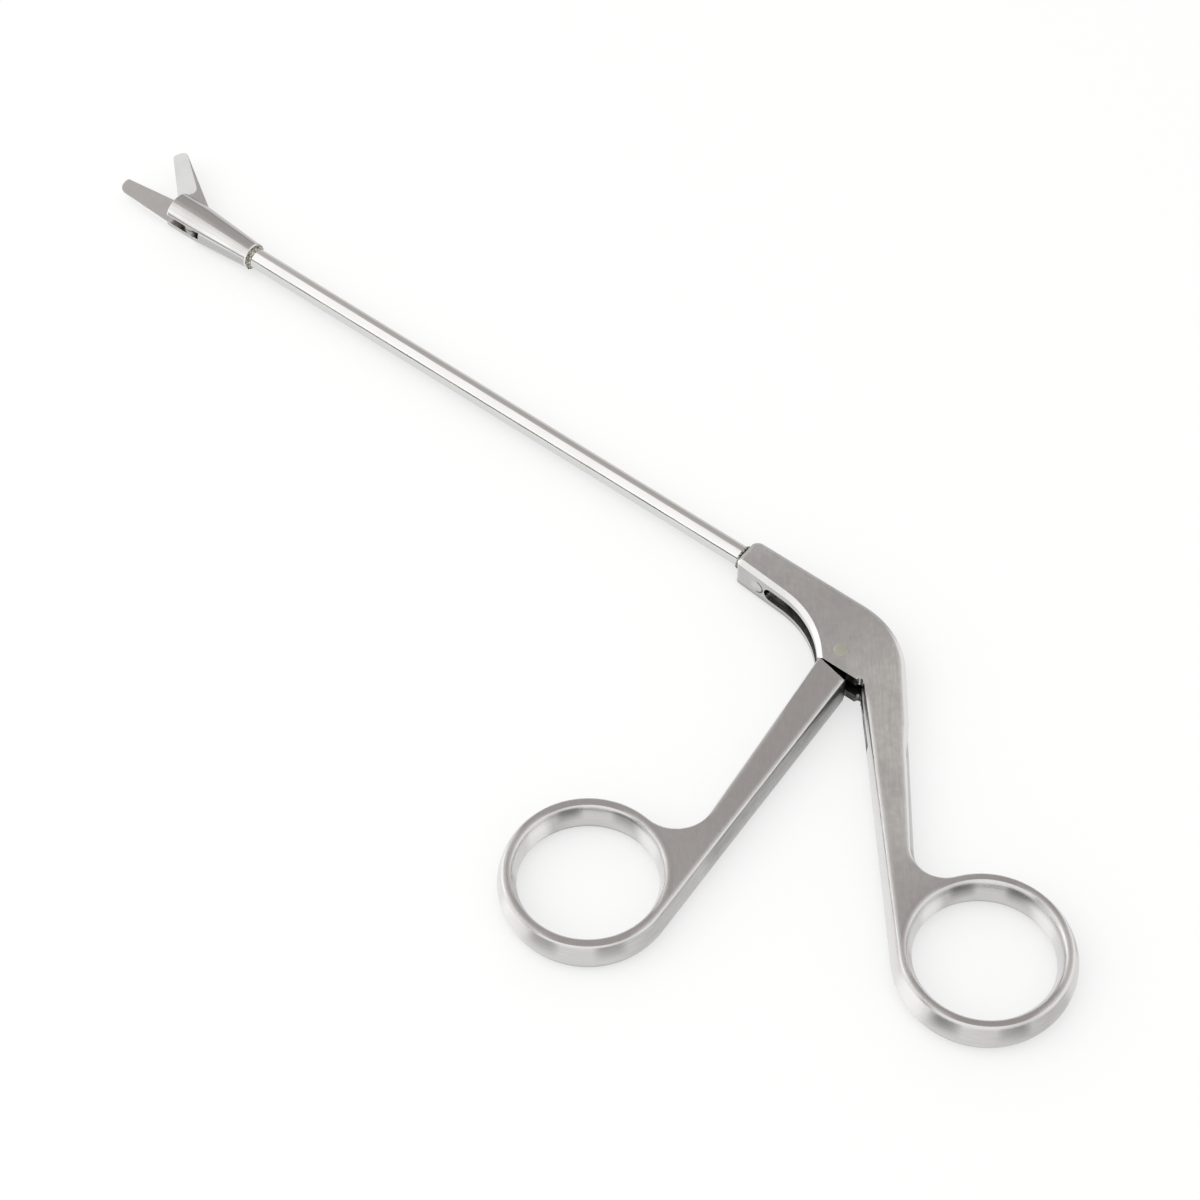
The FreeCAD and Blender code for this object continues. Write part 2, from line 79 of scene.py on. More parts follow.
lamp_aim = Vector((0.045, 0.03, 0.0))
lamp_way = Vector((0.35, 0.45, 0.82)).normalized()
lamp_distance = 0.86
lamp = bpy.data.lights.new("overhead_softbox", "AREA")
lamp.shape = "DISK"
lamp.size = 0.90
lamp.energy = 2.0
lamp.color = (1.0, 0.985, 0.965)
softbox = bpy.data.objects.new("overhead_softbox", lamp)
softbox.location = lamp_aim + lamp_distance * lamp_way
softbox.rotation_euler = (-lamp_way).to_track_quat("-Z", "Y").to_euler()
softbox.visible_glossy = False
bpy.context.scene.collection.objects.link(softbox)


def new_node(tree, kind, label=None, **settings):
    node = tree.nodes.new(kind)
    if label:
        node.label = label
    for key, value in settings.items():
        setattr(node, key, value)
    return node


def join(tree, *pairs):
    for out, into in pairs:
        tree.links.new(out, into)


world = bpy.data.worlds.new("white_room")
bpy.context.scene.world = world
world.use_nodes = True
room = world.node_tree
room.nodes.clear()
room_out = new_node(room, "ShaderNodeOutputWorld")
room_rays = new_node(room, "ShaderNodeLightPath")
room_way = new_node(room, "ShaderNodeTexCoord")
room_split = new_node(room, "ShaderNodeSeparateXYZ")


def room_ramp(label, low, high):
    node = new_node(room, "ShaderNodeMapRange", label, interpolation_type="SMOOTHSTEP")
    node.inputs["From Min"].default_value = low
    node.inputs["From Max"].default_value = high
    return node


def room_mix(label, first, second):
    node = new_node(room, "ShaderNodeMix", label, data_type="RGBA")
    node.inputs[6].default_value = first
    node.inputs[7].default_value = second
    return node


def room_both(label):
    return new_node(room, "ShaderNodeMath", label, operation="MULTIPLY")


white = (1, 1, 1, 1)
room_rise = room_ramp("horizon to ceiling", 0.06, 0.32)
room_side = room_ramp("shadow side to ring side", -0.34, -0.24)
room_ahead = room_ramp("behind to ahead", 0.26, 0.32)
room_beside = room_both("open side ahead")
lamp_side = room_ramp("lamp side", 0.02, 0.16)
room_open = new_node(room, "ShaderNodeMath", "open side", operation="MAXIMUM")
room_ceiling = room_mix("ceiling", (0.42, 0.405, 0.395, 1), (0.97, 0.965, 0.955, 1))
room_behind = room_ramp("pale wall behind the rings", 0.02, -0.14)
room_back = room_mix("wall behind the rings", white, (1.0, 0.99, 0.98, 1))
room_seen = room_mix("white walls under the ceiling", white, white)
gap_foot = room_ramp("foot of the dark gap", 0.12, 0.15)
gap_head = room_ramp("head of the dark gap", 0.35, 0.31)
gap_side = room_ramp("ring side only", 0.35, 0.60)
gap_height = room_both("height of the gap")
gap_ahead = room_ramp("past the cone", 0.25, 0.30)
gap_long = room_both("reach of the gap")
gap_near = room_both("length of the gap")
gap_share = room_both("gap")
room_gap = room_mix("dark gap under the lamp", white, (0.10, 0.10, 0.105, 1))
window_side = room_ramp("window past the tip", 0.44, 0.66)
room_window = room_mix("bright window", white, (1.15, 1.15, 1.14, 1))
sill_height = room_ramp("under the lamp", 0.54, 0.48)
short_of_tip = room_ramp("short of the tip", 0.56, 0.46)
sill_size = room_both("size of the bright wall")
sill_share = room_both("bright wall under the lamp")
room_sill = room_mix("bright wall", white, (1.16, 1.16, 1.15, 1))
room_glow = new_node(room, "ShaderNodeBackground", "soft fill")
room_glow.inputs["Color"].default_value = (1.0, 0.995, 0.99, 1)
room_glow.inputs["Strength"].default_value = 0.80
room_mirror = new_node(room, "ShaderNodeBackground", "room in the metal")
room_white = new_node(room, "ShaderNodeBackground", "white backdrop")
room_white.inputs["Color"].default_value = white
room_pick_mirror = new_node(room, "ShaderNodeMixShader")
room_pick_white = new_node(room, "ShaderNodeMixShader")
join(
    room,
    (room_way.outputs["Generated"], room_split.inputs[0]),
    (room_split.outputs["Z"], room_rise.inputs["Value"]),
    (room_split.outputs["Y"], room_side.inputs["Value"]),
    (room_split.outputs["X"], room_ahead.inputs["Value"]),
    (room_side.outputs["Result"], room_beside.inputs[0]),
    (room_ahead.outputs["Result"], room_beside.inputs[1]),
    (room_split.outputs["Y"], lamp_side.inputs["Value"]),
    (room_beside.outputs[0], room_open.inputs[0]),
    (lamp_side.outputs["Result"], room_open.inputs[1]),
    (room_open.outputs[0], room_ceiling.inputs[0]),
    (room_split.outputs["X"], room_behind.inputs["Value"]),
    (room_behind.outputs["Result"], room_back.inputs[0]),
    (room_ceiling.outputs[2], room_back.inputs[6]),
    (room_rise.outputs["Result"], room_seen.inputs[0]),
    (room_back.outputs[2], room_seen.inputs[7]),
    (room_split.outputs["Z"], gap_foot.inputs["Value"]),
    (room_split.outputs["Z"], gap_head.inputs["Value"]),
    (room_split.outputs["Y"], gap_side.inputs["Value"]),
    (gap_foot.outputs["Result"], gap_height.inputs[0]),
    (gap_head.outputs["Result"], gap_height.inputs[1]),
    (gap_height.outputs[0], gap_near.inputs[0]),
    (room_split.outputs["X"], gap_ahead.inputs["Value"]),
    (short_of_tip.outputs["Result"], gap_long.inputs[0]),
    (gap_ahead.outputs["Result"], gap_long.inputs[1]),
    (gap_long.outputs[0], gap_near.inputs[1]),
    (gap_near.outputs[0], gap_share.inputs[0]),
    (gap_side.outputs["Result"], gap_share.inputs[1]),
    (gap_share.outputs[0], room_gap.inputs[0]),
    (room_split.outputs["X"], window_side.inputs["Value"]),
    (window_side.outputs["Result"], room_window.inputs[0]),
    (room_seen.outputs[2], room_window.inputs[6]),
    (room_split.outputs["Z"], sill_height.inputs["Value"]),
    (room_split.outputs["X"], short_of_tip.inputs["Value"]),
    (sill_height.outputs["Result"], sill_size.inputs[0]),
    (short_of_tip.outputs["Result"], sill_size.inputs[1]),
    (sill_size.outputs[0], sill_share.inputs[0]),
    (gap_side.outputs["Result"], sill_share.inputs[1]),
    (sill_share.outputs[0], room_sill.inputs[0]),
    (room_window.outputs[2], room_sill.inputs[6]),
    (room_sill.outputs[2], room_gap.inputs[6]),
    (room_gap.outputs[2], room_mirror.inputs["Color"]),
    (room_rays.outputs["Is Glossy Ray"], room_pick_mirror.inputs[0]),
    (room_glow.outputs[0], room_pick_mirror.inputs[1]),
    (room_mirror.outputs[0], room_pick_mirror.inputs[2]),
    (room_rays.outputs["Is Camera Ray"], room_pick_white.inputs[0]),
    (room_pick_mirror.outputs[0], room_pick_white.inputs[1]),
    (room_white.outputs[0], room_pick_white.inputs[2]),
    (room_pick_white.outputs[0], room_out.inputs["Surface"]),
)

half_side = 2.0
sheet = bmesh.new()
bmesh.ops.create_grid(sheet, x_segments=1, y_segments=1, size=half_side)
sheet_mesh = bpy.data.meshes.new("white_sheet")
sheet.to_mesh(sheet_mesh)
sheet.free()
white_sheet = bpy.data.objects.new("white_sheet", sheet_mesh)
bpy.context.scene.collection.objects.link(white_sheet)
paper = bpy.data.materials.new("white_sheet")
paper.use_nodes = True
pulp = paper.node_tree
pulp.nodes.clear()
paper_out = new_node(pulp, "ShaderNodeOutputMaterial")
paper_rays = new_node(pulp, "ShaderNodeLightPath")
paper_lit = new_node(pulp, "ShaderNodeBsdfDiffuse")
paper_lit.inputs["Color"].default_value = (0.90, 0.90, 0.90, 1)
paper_soft = new_node(pulp, "ShaderNodeBsdfDiffuse", "weak shadow")
paper_soft.inputs["Color"].default_value = (0.40, 0.40, 0.40, 1)
paper_white = new_node(pulp, "ShaderNodeEmission", "paper white")
paper_white.inputs["Color"].default_value = white
paper_white.inputs["Strength"].default_value = 0.62
paper_seen = new_node(pulp, "ShaderNodeAddShader")
paper_either = new_node(pulp, "ShaderNodeMath", "seen or mirrored", operation="MAXIMUM")
paper_pick = new_node(pulp, "ShaderNodeMixShader")
join(
    pulp,
    (paper_soft.outputs[0], paper_seen.inputs[0]),
    (paper_white.outputs[0], paper_seen.inputs[1]),
    (paper_rays.outputs["Is Camera Ray"], paper_either.inputs[0]),
    (paper_rays.outputs["Is Glossy Ray"], paper_either.inputs[1]),
    (paper_either.outputs[0], paper_pick.inputs[0]),
    (paper_lit.outputs[0], paper_pick.inputs[1]),
    (paper_seen.outputs[0], paper_pick.inputs[2]),
    (paper_pick.outputs[0], paper_out.inputs["Surface"]),
)
white_sheet.data.materials.append(paper)


# Rear handle: pistol body, shank and finger ring in one forging of stainless steel.
# Its flat faces are ground on a belt and its walls are satin polished by hand. Its walls and bevels
# are painted lighter or darker by the way they face, as painted light and shade: the polished front
# edge carries a painted highlight and the notch is painted shade.
def start_group(name, takes, gives):
    group = bpy.data.node_groups.new(name, "ShaderNodeTree")
    for label, kind, value in takes:
        socket = group.interface.new_socket(label, in_out="INPUT", socket_type=kind)
        socket.default_value = value
    for label, kind in gives:
        group.interface.new_socket(label, in_out="OUTPUT", socket_type=kind)
    inlet = group.nodes.new("NodeGroupInput")
    outlet = group.nodes.new("NodeGroupOutput")
    return group, inlet, outlet


def math_node(tree, operation, first, second=None):
    node = new_node(tree, "ShaderNodeMath", operation=operation)
    for i, value in enumerate((first, second)):
        if value is None:
            continue
        if isinstance(value, (int, float)):
            node.inputs[i].default_value = value
        else:
            tree.links.new(value, node.inputs[i])
    return node.outputs[0]


def smooth_range(tree, value, low, high, out_low=0.0, out_high=1.0):
    node = new_node(tree, "ShaderNodeMapRange", interpolation_type="SMOOTHSTEP")
    for label, number in (
        ("From Min", low), ("From Max", high), ("To Min", out_low), ("To Max", out_high)
    ):
        if isinstance(number, (int, float)):
            node.inputs[label].default_value = number
        else:
            tree.links.new(number, node.inputs[label])
    tree.links.new(value, node.inputs["Value"])
    return node.outputs["Result"]


def between(tree, value, given, out_low=0.0, out_high=1.0):
    low, high = given.outputs["Low"], given.outputs["High"]
    return smooth_range(tree, value, low, high, out_low, out_high)


def all_but(tree, share):
    return math_node(tree, "SUBTRACT", 1.0, share)


VALUE = "NodeSocketFloat"
VECTOR = "NodeSocketVector"

# Streaks left by a grinding belt, long along X of the vector that comes in.
belt_grain, grain_in, grain_out = start_group(
    "belt_grain",
    [
        ("Vector", VECTOR, (0, 0, 0)),
        ("Streaks per metre", VALUE, 4000.0),
        ("Length", VALUE, 22.0),
    ],
    [("Streaks", VALUE), ("Fine", VALUE)],
)
grain_split = new_node(belt_grain, "ShaderNodeSeparateXYZ")
grain_run = math_node(belt_grain, "DIVIDE", grain_split.outputs["X"], grain_in.outputs["Length"])
grain_lay = new_node(belt_grain, "ShaderNodeCombineXYZ")
grain_scale = new_node(belt_grain, "ShaderNodeVectorMath", operation="SCALE")
grain_coarse = new_node(belt_grain, "ShaderNodeTexNoise")
grain_coarse.inputs["Scale"].default_value = 1.0
grain_coarse.inputs["Detail"].default_value = 3.0
grain_fine = new_node(belt_grain, "ShaderNodeTexNoise")
grain_fine.inputs["Scale"].default_value = 3.3
grain_fine.inputs["Detail"].default_value = 2.0
grain_low = 0.3
grain_high = 0.7
grain_streaks = smooth_range(belt_grain, grain_coarse.outputs["Fac"], grain_low, grain_high)
grain_lines = smooth_range(belt_grain, grain_fine.outputs["Fac"], grain_low, grain_high)
join(
    belt_grain,
    (grain_in.outputs["Vector"], grain_split.inputs[0]),
    (grain_run, grain_lay.inputs["X"]),
    (grain_split.outputs["Y"], grain_lay.inputs["Y"]),
    (grain_split.outputs["Z"], grain_lay.inputs["Z"]),
    (grain_lay.outputs[0], grain_scale.inputs[0]),
    (grain_in.outputs["Streaks per metre"], grain_scale.inputs["Scale"]),
    (grain_scale.outputs[0], grain_coarse.inputs["Vector"]),
    (grain_scale.outputs[0], grain_fine.inputs["Vector"]),
    (grain_streaks, grain_out.inputs["Streaks"]),
    (grain_lines, grain_out.inputs["Fine"]),
)

# Soft clouds of wear and polish.
hand_marks, marks_in, marks_out = start_group(
    "hand_marks",
    [
        ("Vector", VECTOR, (0, 0, 0)),
        ("Clouds per metre", VALUE, 110.0),
        ("Low", VALUE, 0.45),
        ("High", VALUE, 0.7),
    ],
    [("Mask", VALUE)],
)
marks_noise = new_node(hand_marks, "ShaderNodeTexNoise")
marks_noise.inputs["Detail"].default_value = 2.0
marks_noise.inputs["Roughness"].default_value = 0.45
marks_mask = between(hand_marks, marks_noise.outputs["Fac"], marks_in)
join(
    hand_marks,
    (marks_in.outputs["Vector"], marks_noise.inputs["Vector"]),
    (marks_in.outputs["Clouds per metre"], marks_noise.inputs["Scale"]),
    (marks_mask, marks_out.inputs["Mask"]),
)

# Rounded, rubbed edges: a normal that rolls over each edge, and a mask along it that the finishes use
# for wear and for a painted highlight on the edge.
edge_wear_and_highlight, edge_group_in, edge_group_out = start_group(
    "edge_wear_and_highlight",
    [("Radius", VALUE, 0.00012), ("Low", VALUE, 0.02), ("High", VALUE, 0.25)],
    [("Mask", VALUE), ("Normal", VECTOR)],
)
rub_round = new_node(edge_wear_and_highlight, "ShaderNodeBevel", samples=4)
rub_flat = new_node(edge_wear_and_highlight, "ShaderNodeNewGeometry")
edge_dot = new_node(edge_wear_and_highlight, "ShaderNodeVectorMath", operation="DOT_PRODUCT")
edge_wear_and_highlight_mask = between(edge_wear_and_highlight, all_but(edge_wear_and_highlight, edge_dot.outputs["Value"]), edge_group_in)
join(
    edge_wear_and_highlight,
    (edge_group_in.outputs["Radius"], rub_round.inputs["Radius"]),
    (rub_round.outputs[0], edge_dot.inputs[0]),
    (rub_flat.outputs["Normal"], edge_dot.inputs[1]),
    (rub_round.outputs[0], edge_group_out.inputs["Normal"]),
    (edge_wear_and_highlight_mask, edge_group_out.inputs["Mask"]),
)

# Painted shade: a mask from ambient occlusion that darkens the colour in slots and gaps.
slot_shade, shade_in, shade_out = start_group(
    "slot_shade", [("Low", VALUE, 0.25), ("High", VALUE, 0.6)], [("Mask", VALUE)]
)
shade_reach = new_node(slot_shade, "ShaderNodeAmbientOcclusion", samples=6)
shade_reach.inputs["Distance"].default_value = 0.004
shade_mask = between(slot_shade, shade_reach.outputs["AO"], shade_in, 1.0, 0.0)
join(slot_shade, (shade_mask, shade_out.inputs["Mask"]))


def place_group(tree, group, **values):
    node = tree.nodes.new("ShaderNodeGroup")
    node.node_tree = group
    for label, value in values.items():
        node.inputs[label.replace("_", " ")].default_value = value
    return node


def mix_colour(tree, share, first, second):
    node = new_node(tree, "ShaderNodeMix", data_type="RGBA")
    for i, value in ((0, share), (6, first), (7, second)):
        if isinstance(value, (int, float, tuple)):
            node.inputs[i].default_value = value
        else:
            tree.links.new(value, node.inputs[i])
    return node.outputs[2]


def mix_value(tree, share, first, second):
    node = new_node(tree, "ShaderNodeMix", data_type="FLOAT")
    for i, value in ((0, share), (2, first), (3, second)):
        if isinstance(value, (int, float)):
            node.inputs[i].default_value = value
        else:
            tree.links.new(value, node.inputs[i])
    return node.outputs[0]


# A share that is one within a radius of an upright axis and fades outside it.
near_axis, near_in, near_out = start_group(
    "near_axis",
    [
        ("Vector", VECTOR, (0, 0, 0)),
        ("Centre", VECTOR, (0, 0, 0)),
        ("Axes", VECTOR, (1, 1, 0)),
        ("Radius", VALUE, 0.01),
        ("Fade", VALUE, 0.002),
    ],
    [("Mask", VALUE)],
)
near_from = new_node(near_axis, "ShaderNodeVectorMath", operation="SUBTRACT")
near_flat = new_node(near_axis, "ShaderNodeVectorMath", operation="MULTIPLY")
near_reach = new_node(near_axis, "ShaderNodeVectorMath", operation="LENGTH")
near_outer = math_node(near_axis, "ADD", near_in.outputs["Radius"], near_in.outputs["Fade"])
near_mask = smooth_range(
    near_axis, near_reach.outputs["Value"], near_in.outputs["Radius"], near_outer, 1.0, 0.0
)
join(
    near_axis,
    (near_in.outputs["Vector"], near_from.inputs[0]),
    (near_in.outputs["Centre"], near_from.inputs[1]),
    (near_from.outputs[0], near_flat.inputs[0]),
    (near_in.outputs["Axes"], near_flat.inputs[1]),
    (near_flat.outputs[0], near_reach.inputs[0]),
    (near_mask, near_out.inputs["Mask"]),
)

# A share that grows as a surface turns to face a heading.
facing, facing_in, facing_out = start_group(
    "facing",
    [
        ("Normal", VECTOR, (0, 0, 1)),
        ("Axes", VECTOR, (1, 1, 1)),
        ("Heading", VECTOR, (0, 0, 1)),
        ("Low", VALUE, 0.0),
        ("High", VALUE, 1.0),
    ],
    [("Mask", VALUE)],
)
facing_axes = new_node(facing, "ShaderNodeVectorMath", operation="MULTIPLY")
facing_unit = new_node(facing, "ShaderNodeVectorMath", operation="NORMALIZE")
facing_dot = new_node(facing, "ShaderNodeVectorMath", operation="DOT_PRODUCT")
facing_mask = between(facing, facing_dot.outputs["Value"], facing_in)
join(
    facing,
    (facing_in.outputs["Normal"], facing_axes.inputs[0]),
    (facing_in.outputs["Axes"], facing_axes.inputs[1]),
    (facing_axes.outputs[0], facing_unit.inputs[0]),
    (facing_unit.outputs[0], facing_dot.inputs[0]),
    (facing_in.outputs["Heading"], facing_dot.inputs[1]),
    (facing_mask, facing_out.inputs["Mask"]),
)

# Headings that walls and bevels are told apart by, to paint them lighter or darker as painted light and
# shade: lever_way runs from the shaft to the finger rings, and back_way out of the back of the handle.
# Walls facing window_way are painted lit, and the two ways for dark patches and the two gleams give
# painted reflections and highlights on the ring walls.
lever_way = Vector((0.0, 1.0, 0.0))
all_axes = (1, 1, 1)
window_way = Vector((0.79, 0.61, 0.0))
bevel_way = Vector((0.34, 0.94, 0.0))
back_way = Vector((-0.93, -0.37, 0.0))
front_way = Vector((0.61, 0.79, 0.0))
dark_reflection_ways = (Vector((-0.13, 0.99, 0.0)), Vector((-0.79, 0.61, 0.0)))
outer_gleam = Vector((0.36, 0.93, 0.0))
inner_gleam = Vector((-0.99, 0.12, 0.0))
mid_height = sum(corner[2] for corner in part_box("rear_handle")) / 2
handle_grind = math.radians(-52.0)
body_place = (0.0, 0.0, 0.0)
body_end_place = (0.0080, 0.0040, 0.0)
nose_place = (0.0200, -0.0010, 0.0)
rivet_place = (0.0, 0.0068, 0.0)
shoulder_place = (-0.0022, 0.0097, 0.0)


def start_steel(name):
    """A metal material with its object position and normal ready to use."""
    steel = bpy.data.materials.new(name)
    steel.use_nodes = True
    tree = steel.node_tree
    bsdf = tree.nodes["Principled BSDF"]
    bsdf.inputs["Metallic"].default_value = 1.0
    place = new_node(tree, "ShaderNodeTexCoord")
    return steel, tree, bsdf, place.outputs["Object"], place.outputs["Normal"]


def near(tree, place, centre, radius, fade, axes=(1, 1, 0)):
    spot = place_group(tree, near_axis, Centre=centre, Axes=axes, Radius=radius, Fade=fade)
    tree.links.new(place, spot.inputs["Vector"])
    return spot.outputs["Mask"]


def toward(tree, normal, heading, low, high, axes=(1, 1, 0)):
    turned = place_group(tree, facing, Axes=axes, Heading=heading, Low=low, High=high)
    tree.links.new(normal, turned.inputs["Normal"])
    return turned.outputs["Mask"]


def clouds(tree, place, per_metre, low, high):
    marks = place_group(tree, hand_marks, Clouds_per_metre=per_metre, Low=low, High=high)
    tree.links.new(place, marks.inputs["Vector"])
    return marks.outputs["Mask"]


def grain(tree, place, angle, per_metre=4000.0, length=22.0):
    turn = new_node(tree, "ShaderNodeMapping", "grinding direction")
    turn.inputs["Rotation"].default_value = (0, 0, -angle)
    lines = place_group(tree, belt_grain, Streaks_per_metre=per_metre, Length=length)
    join(tree, (place, turn.inputs["Vector"]), (turn.outputs[0], lines.inputs["Vector"]))
    return lines.outputs["Streaks"], lines.outputs["Fine"]


def swing(tree, share, start, end):
    return smooth_range(tree, share, 0, 1, start, end)


def times(tree, first, second):
    return math_node(tree, "MULTIPLY", first, second)


def lay_on(tree, tone, share, strength, colour):
    return mix_colour(tree, times(tree, share, strength), tone, colour)


def along_axis(tree, vector, axis):
    split = new_node(tree, "ShaderNodeSeparateXYZ")
    tree.links.new(vector, split.inputs[0])
    return split.outputs[axis]


def levelness(tree, normal, low=0.93, high=0.985):
    upright = math_node(tree, "ABSOLUTE", along_axis(tree, normal, "Z"))
    return smooth_range(tree, upright, low, high)


def finish_steel(tree, bsdf, tone, rough, height, rolled, bump_depth):
    bump = new_node(tree, "ShaderNodeBump")
    bump.inputs["Strength"].default_value = 0.35
    bump.inputs["Distance"].default_value = bump_depth
    join(
        tree,
        (tone, bsdf.inputs["Base Color"]),
        (rough, bsdf.inputs["Roughness"]),
        (height, bump.inputs["Height"]),
        (rolled, bump.inputs["Normal"]),
        (bump.outputs[0], bsdf.inputs["Normal"]),
    )


def grey(value, warmth=0.0):
    return (value * (1 + warmth), value, value * (1 - warmth), 1)


def handle_finish(name, ring_centre, shank_centre, shank_tone, dark_root, root_tone, back_rim):
    """Ground faces and polished walls of a handle, with its ring, shank and root, and with light and
    shade painted into walls and bevels by the way they face.
    """
    steel, tree, bsdf, place, normal = start_steel(name)
    edge = place_group(tree, edge_wear_and_highlight, Low=0.01, High=0.16)
    roll = place_group(tree, edge_wear_and_highlight, Radius=0.0011, Low=0.002, High=0.05)
    shade = place_group(tree, slot_shade, Low=0.22, High=0.55)
    level = levelness(tree, normal)
    ring = near(tree, place, ring_centre, radius=0.0155, fade=0.0045)
    shank_share = swing(tree, ring, 1.0, 0.45)
    shank = near(tree, place, shank_centre, radius=0.008, fade=0.022)
    root = near(tree, place, body_place, radius=0.0150, fade=0.0180)
    soft = clouds(tree, place, 120.0, low=0.40, high=0.72)
    mottle = clouds(tree, place, 900.0, low=0.35, high=0.70)
    streaks, fine = grain(tree, place, handle_grind)
    streak = mix_value(tree, 0.5, streaks, fine)

    face = mix_colour(tree, ring, (0.61, 0.58, 0.57, 1), (0.49, 0.455, 0.455, 1))
    band = near(tree, place, ring_centre, radius=0.0120, fade=0.0009)
    hollow = near(tree, place, ring_centre, radius=0.0110, fade=0.0006)
    lip = times(tree, ring, mix_value(tree, band, 1.0, hollow))
    face = lay_on(tree, face, lip, 0.55, (0.66, 0.63, 0.625, 1))
    face = lay_on(tree, face, shank, 0.95, shank_tone)
    nose = near(tree, place, nose_place, radius=0.0020, fade=0.0110)
    face = lay_on(tree, face, nose, 0.7, (0.76, 0.73, 0.72, 1))
    face = lay_on(tree, face, soft, 0.35, (0.50, 0.475, 0.465, 1))
    face = lay_on(tree, face, mottle, 0.24, (0.42, 0.40, 0.395, 1))
    face = lay_on(tree, face, streak, 0.30, (0.80, 0.79, 0.78, 1))

    # Painted light and shade: walls facing window_way are painted lighter, walls facing away are
    # painted darker (most of all near the root), and walls facing back_way get their own painted tone.
    bright = toward(tree, normal, window_way, low=0.55, high=1.0)
    shaded_side = toward(tree, normal, -window_way, low=0.10, high=0.75)
    wall = mix_colour(tree, bright, grey(0.58, 0.015), grey(0.74, 0.01))
    shadow = mix_colour(tree, root, grey(0.27, 0.02), grey(0.13, 0.03))
    wall = lay_on(tree, wall, shaded_side, shank_share, shadow)
    wall = mix_colour(tree, toward(tree, normal, back_way, low=0.94, high=0.99), wall, grey(0.62, 0.01))
    # Painted shade on the nose walls that face the lever.
    body_end = near(tree, place, body_end_place, radius=0.0165, fade=0.0040)
    nose_wall = times(tree, toward(tree, normal, lever_way, low=0.90, high=0.98), body_end)
    wall = lay_on(tree, wall, nose_wall, 0.8, grey(0.47, 0.01))
    level_lines = new_node(tree, "ShaderNodeMapping", "level polish lines")
    level_lines.inputs["Scale"].default_value = (0.06, 0.06, 1.0)
    wall_grain = place_group(tree, belt_grain, Length=1.0, Streaks_per_metre=5200.0)
    join(
        tree,
        (place, level_lines.inputs["Vector"]),
        (level_lines.outputs[0], wall_grain.inputs["Vector"]),
    )
    wall = lay_on(tree, wall, wall_grain.outputs["Streaks"], 0.16, grey(0.88))
    # Painted reflections: dark patches high on the ring walls at two headings, and painted highlights
    # beside them.
    height_here = along_axis(tree, place, "Z")
    upper = smooth_range(tree, height_here, mid_height - 0.0006, mid_height + 0.0026)
    dark_reflection_patch = times(tree, times(tree, upper, ring), swing(tree, soft, 0.65, 1.0))
    for way in dark_reflection_ways:
        spot = times(tree, toward(tree, normal, way, low=0.972, high=0.998), dark_reflection_patch)
        wall = lay_on(tree, wall, spot, 0.85, grey(0.15, 0.015))
    for way, reach in ((outer_gleam, ring), (inner_gleam, hollow)):
        gleam = times(tree, toward(tree, normal, way, low=0.95, high=1.0), reach)
        wall = lay_on(tree, wall, gleam, 0.70, grey(0.97, 0.01))
    # Painted shade: the walls darken in their lowest 2 mm, next to the table.
    foot = smooth_range(tree, height_here, 0.0003, 0.0020, 0.70, 0.0)
    wall = mix_colour(tree, foot, wall, grey(0.30, 0.01))
    worn = clouds(tree, place, 75.0, low=0.58, high=0.74)
    wall = lay_on(tree, wall, worn, 0.20, grey(0.36, 0.01))

    # Painted light and shade on the bevels: darker or lighter by the way each faces, palest toward the
    # window.
    bevel = levelness(tree, normal, low=0.50, high=0.62)
    shine = toward(tree, normal, bevel_way, low=0.10, high=0.90)
    rim = mix_colour(tree, ring, grey(back_rim, 0.01), grey(0.62, 0.01))
    rim = mix_colour(tree, toward(tree, normal, back_way, low=0.60, high=0.90), rim, grey(0.74, 0.01))
    lit_rim = mix_colour(tree, ring, grey(0.80, 0.01), grey(0.66, 0.01))
    rim = mix_colour(tree, shine, rim, lit_rim)
    rim = mix_colour(tree, toward(tree, normal, window_way, low=0.90, high=0.99), rim, grey(0.92, 0.01))
    tone = mix_colour(tree, level, mix_colour(tree, bevel, wall, rim), face)
    # Painted highlight along the edges, with a little wear.
    tone = lay_on(tree, tone, edge.outputs["Mask"], 0.85, grey(0.95))
    # Painted shade from dark_root, in the notch or on the tongue inside the slot.
    tone = mix_colour(tree, dark_root(tree, place, normal, level), tone, root_tone)
    # Painted shade in slots and gaps, with lighter patches in it.
    shade_patches = clouds(tree, place, 1100.0, low=0.50, high=0.64)
    painted_slot_shade = mix_colour(tree, shade_patches, grey(0.016, 0.03), grey(0.13, 0.03))
    tone = mix_colour(tree, shade.outputs["Mask"], tone, painted_slot_shade)
    satin = swing(tree, soft, 0.24, 0.32)
    ground = swing(tree, streak, 0.40, 0.28)
    rough = mix_value(tree, level, satin, ground)
    height = mix_value(tree, level, wall_grain.outputs["Streaks"], streak)
    front = toward(tree, roll.outputs["Normal"], front_way, low=0.55, high=0.85)
    front = times(tree, front, all_but(tree, body_end))
    back = toward(tree, roll.outputs["Normal"], back_way, low=0.60, high=0.90)
    rivet_end = near(tree, place, rivet_place, radius=0.0040, fade=0.0008)
    border = times(tree, math_node(tree, "MAXIMUM", front, back), level)
    border = times(tree, border, all_but(tree, rivet_end))
    rolled_rim = times(tree, border, roll.outputs["Mask"])
    # Painted highlight along the softly rolled edges of the faces.
    tone = lay_on(tree, tone, rolled_rim, 0.8, grey(0.80, 0.01))
    rolled = new_node(tree, "ShaderNodeMix", "softly rolled shank edges", data_type="VECTOR")
    join(
        tree,
        (border, rolled.inputs[0]),
        (normal, rolled.inputs[4]),
        (roll.outputs["Normal"], rolled.inputs[5]),
    )
    finish_steel(tree, bsdf, tone, rough, height, rolled.outputs[1], bump_depth=0.00002)
    return steel


weld_distance = 1e-7
dead_level = 0.99999


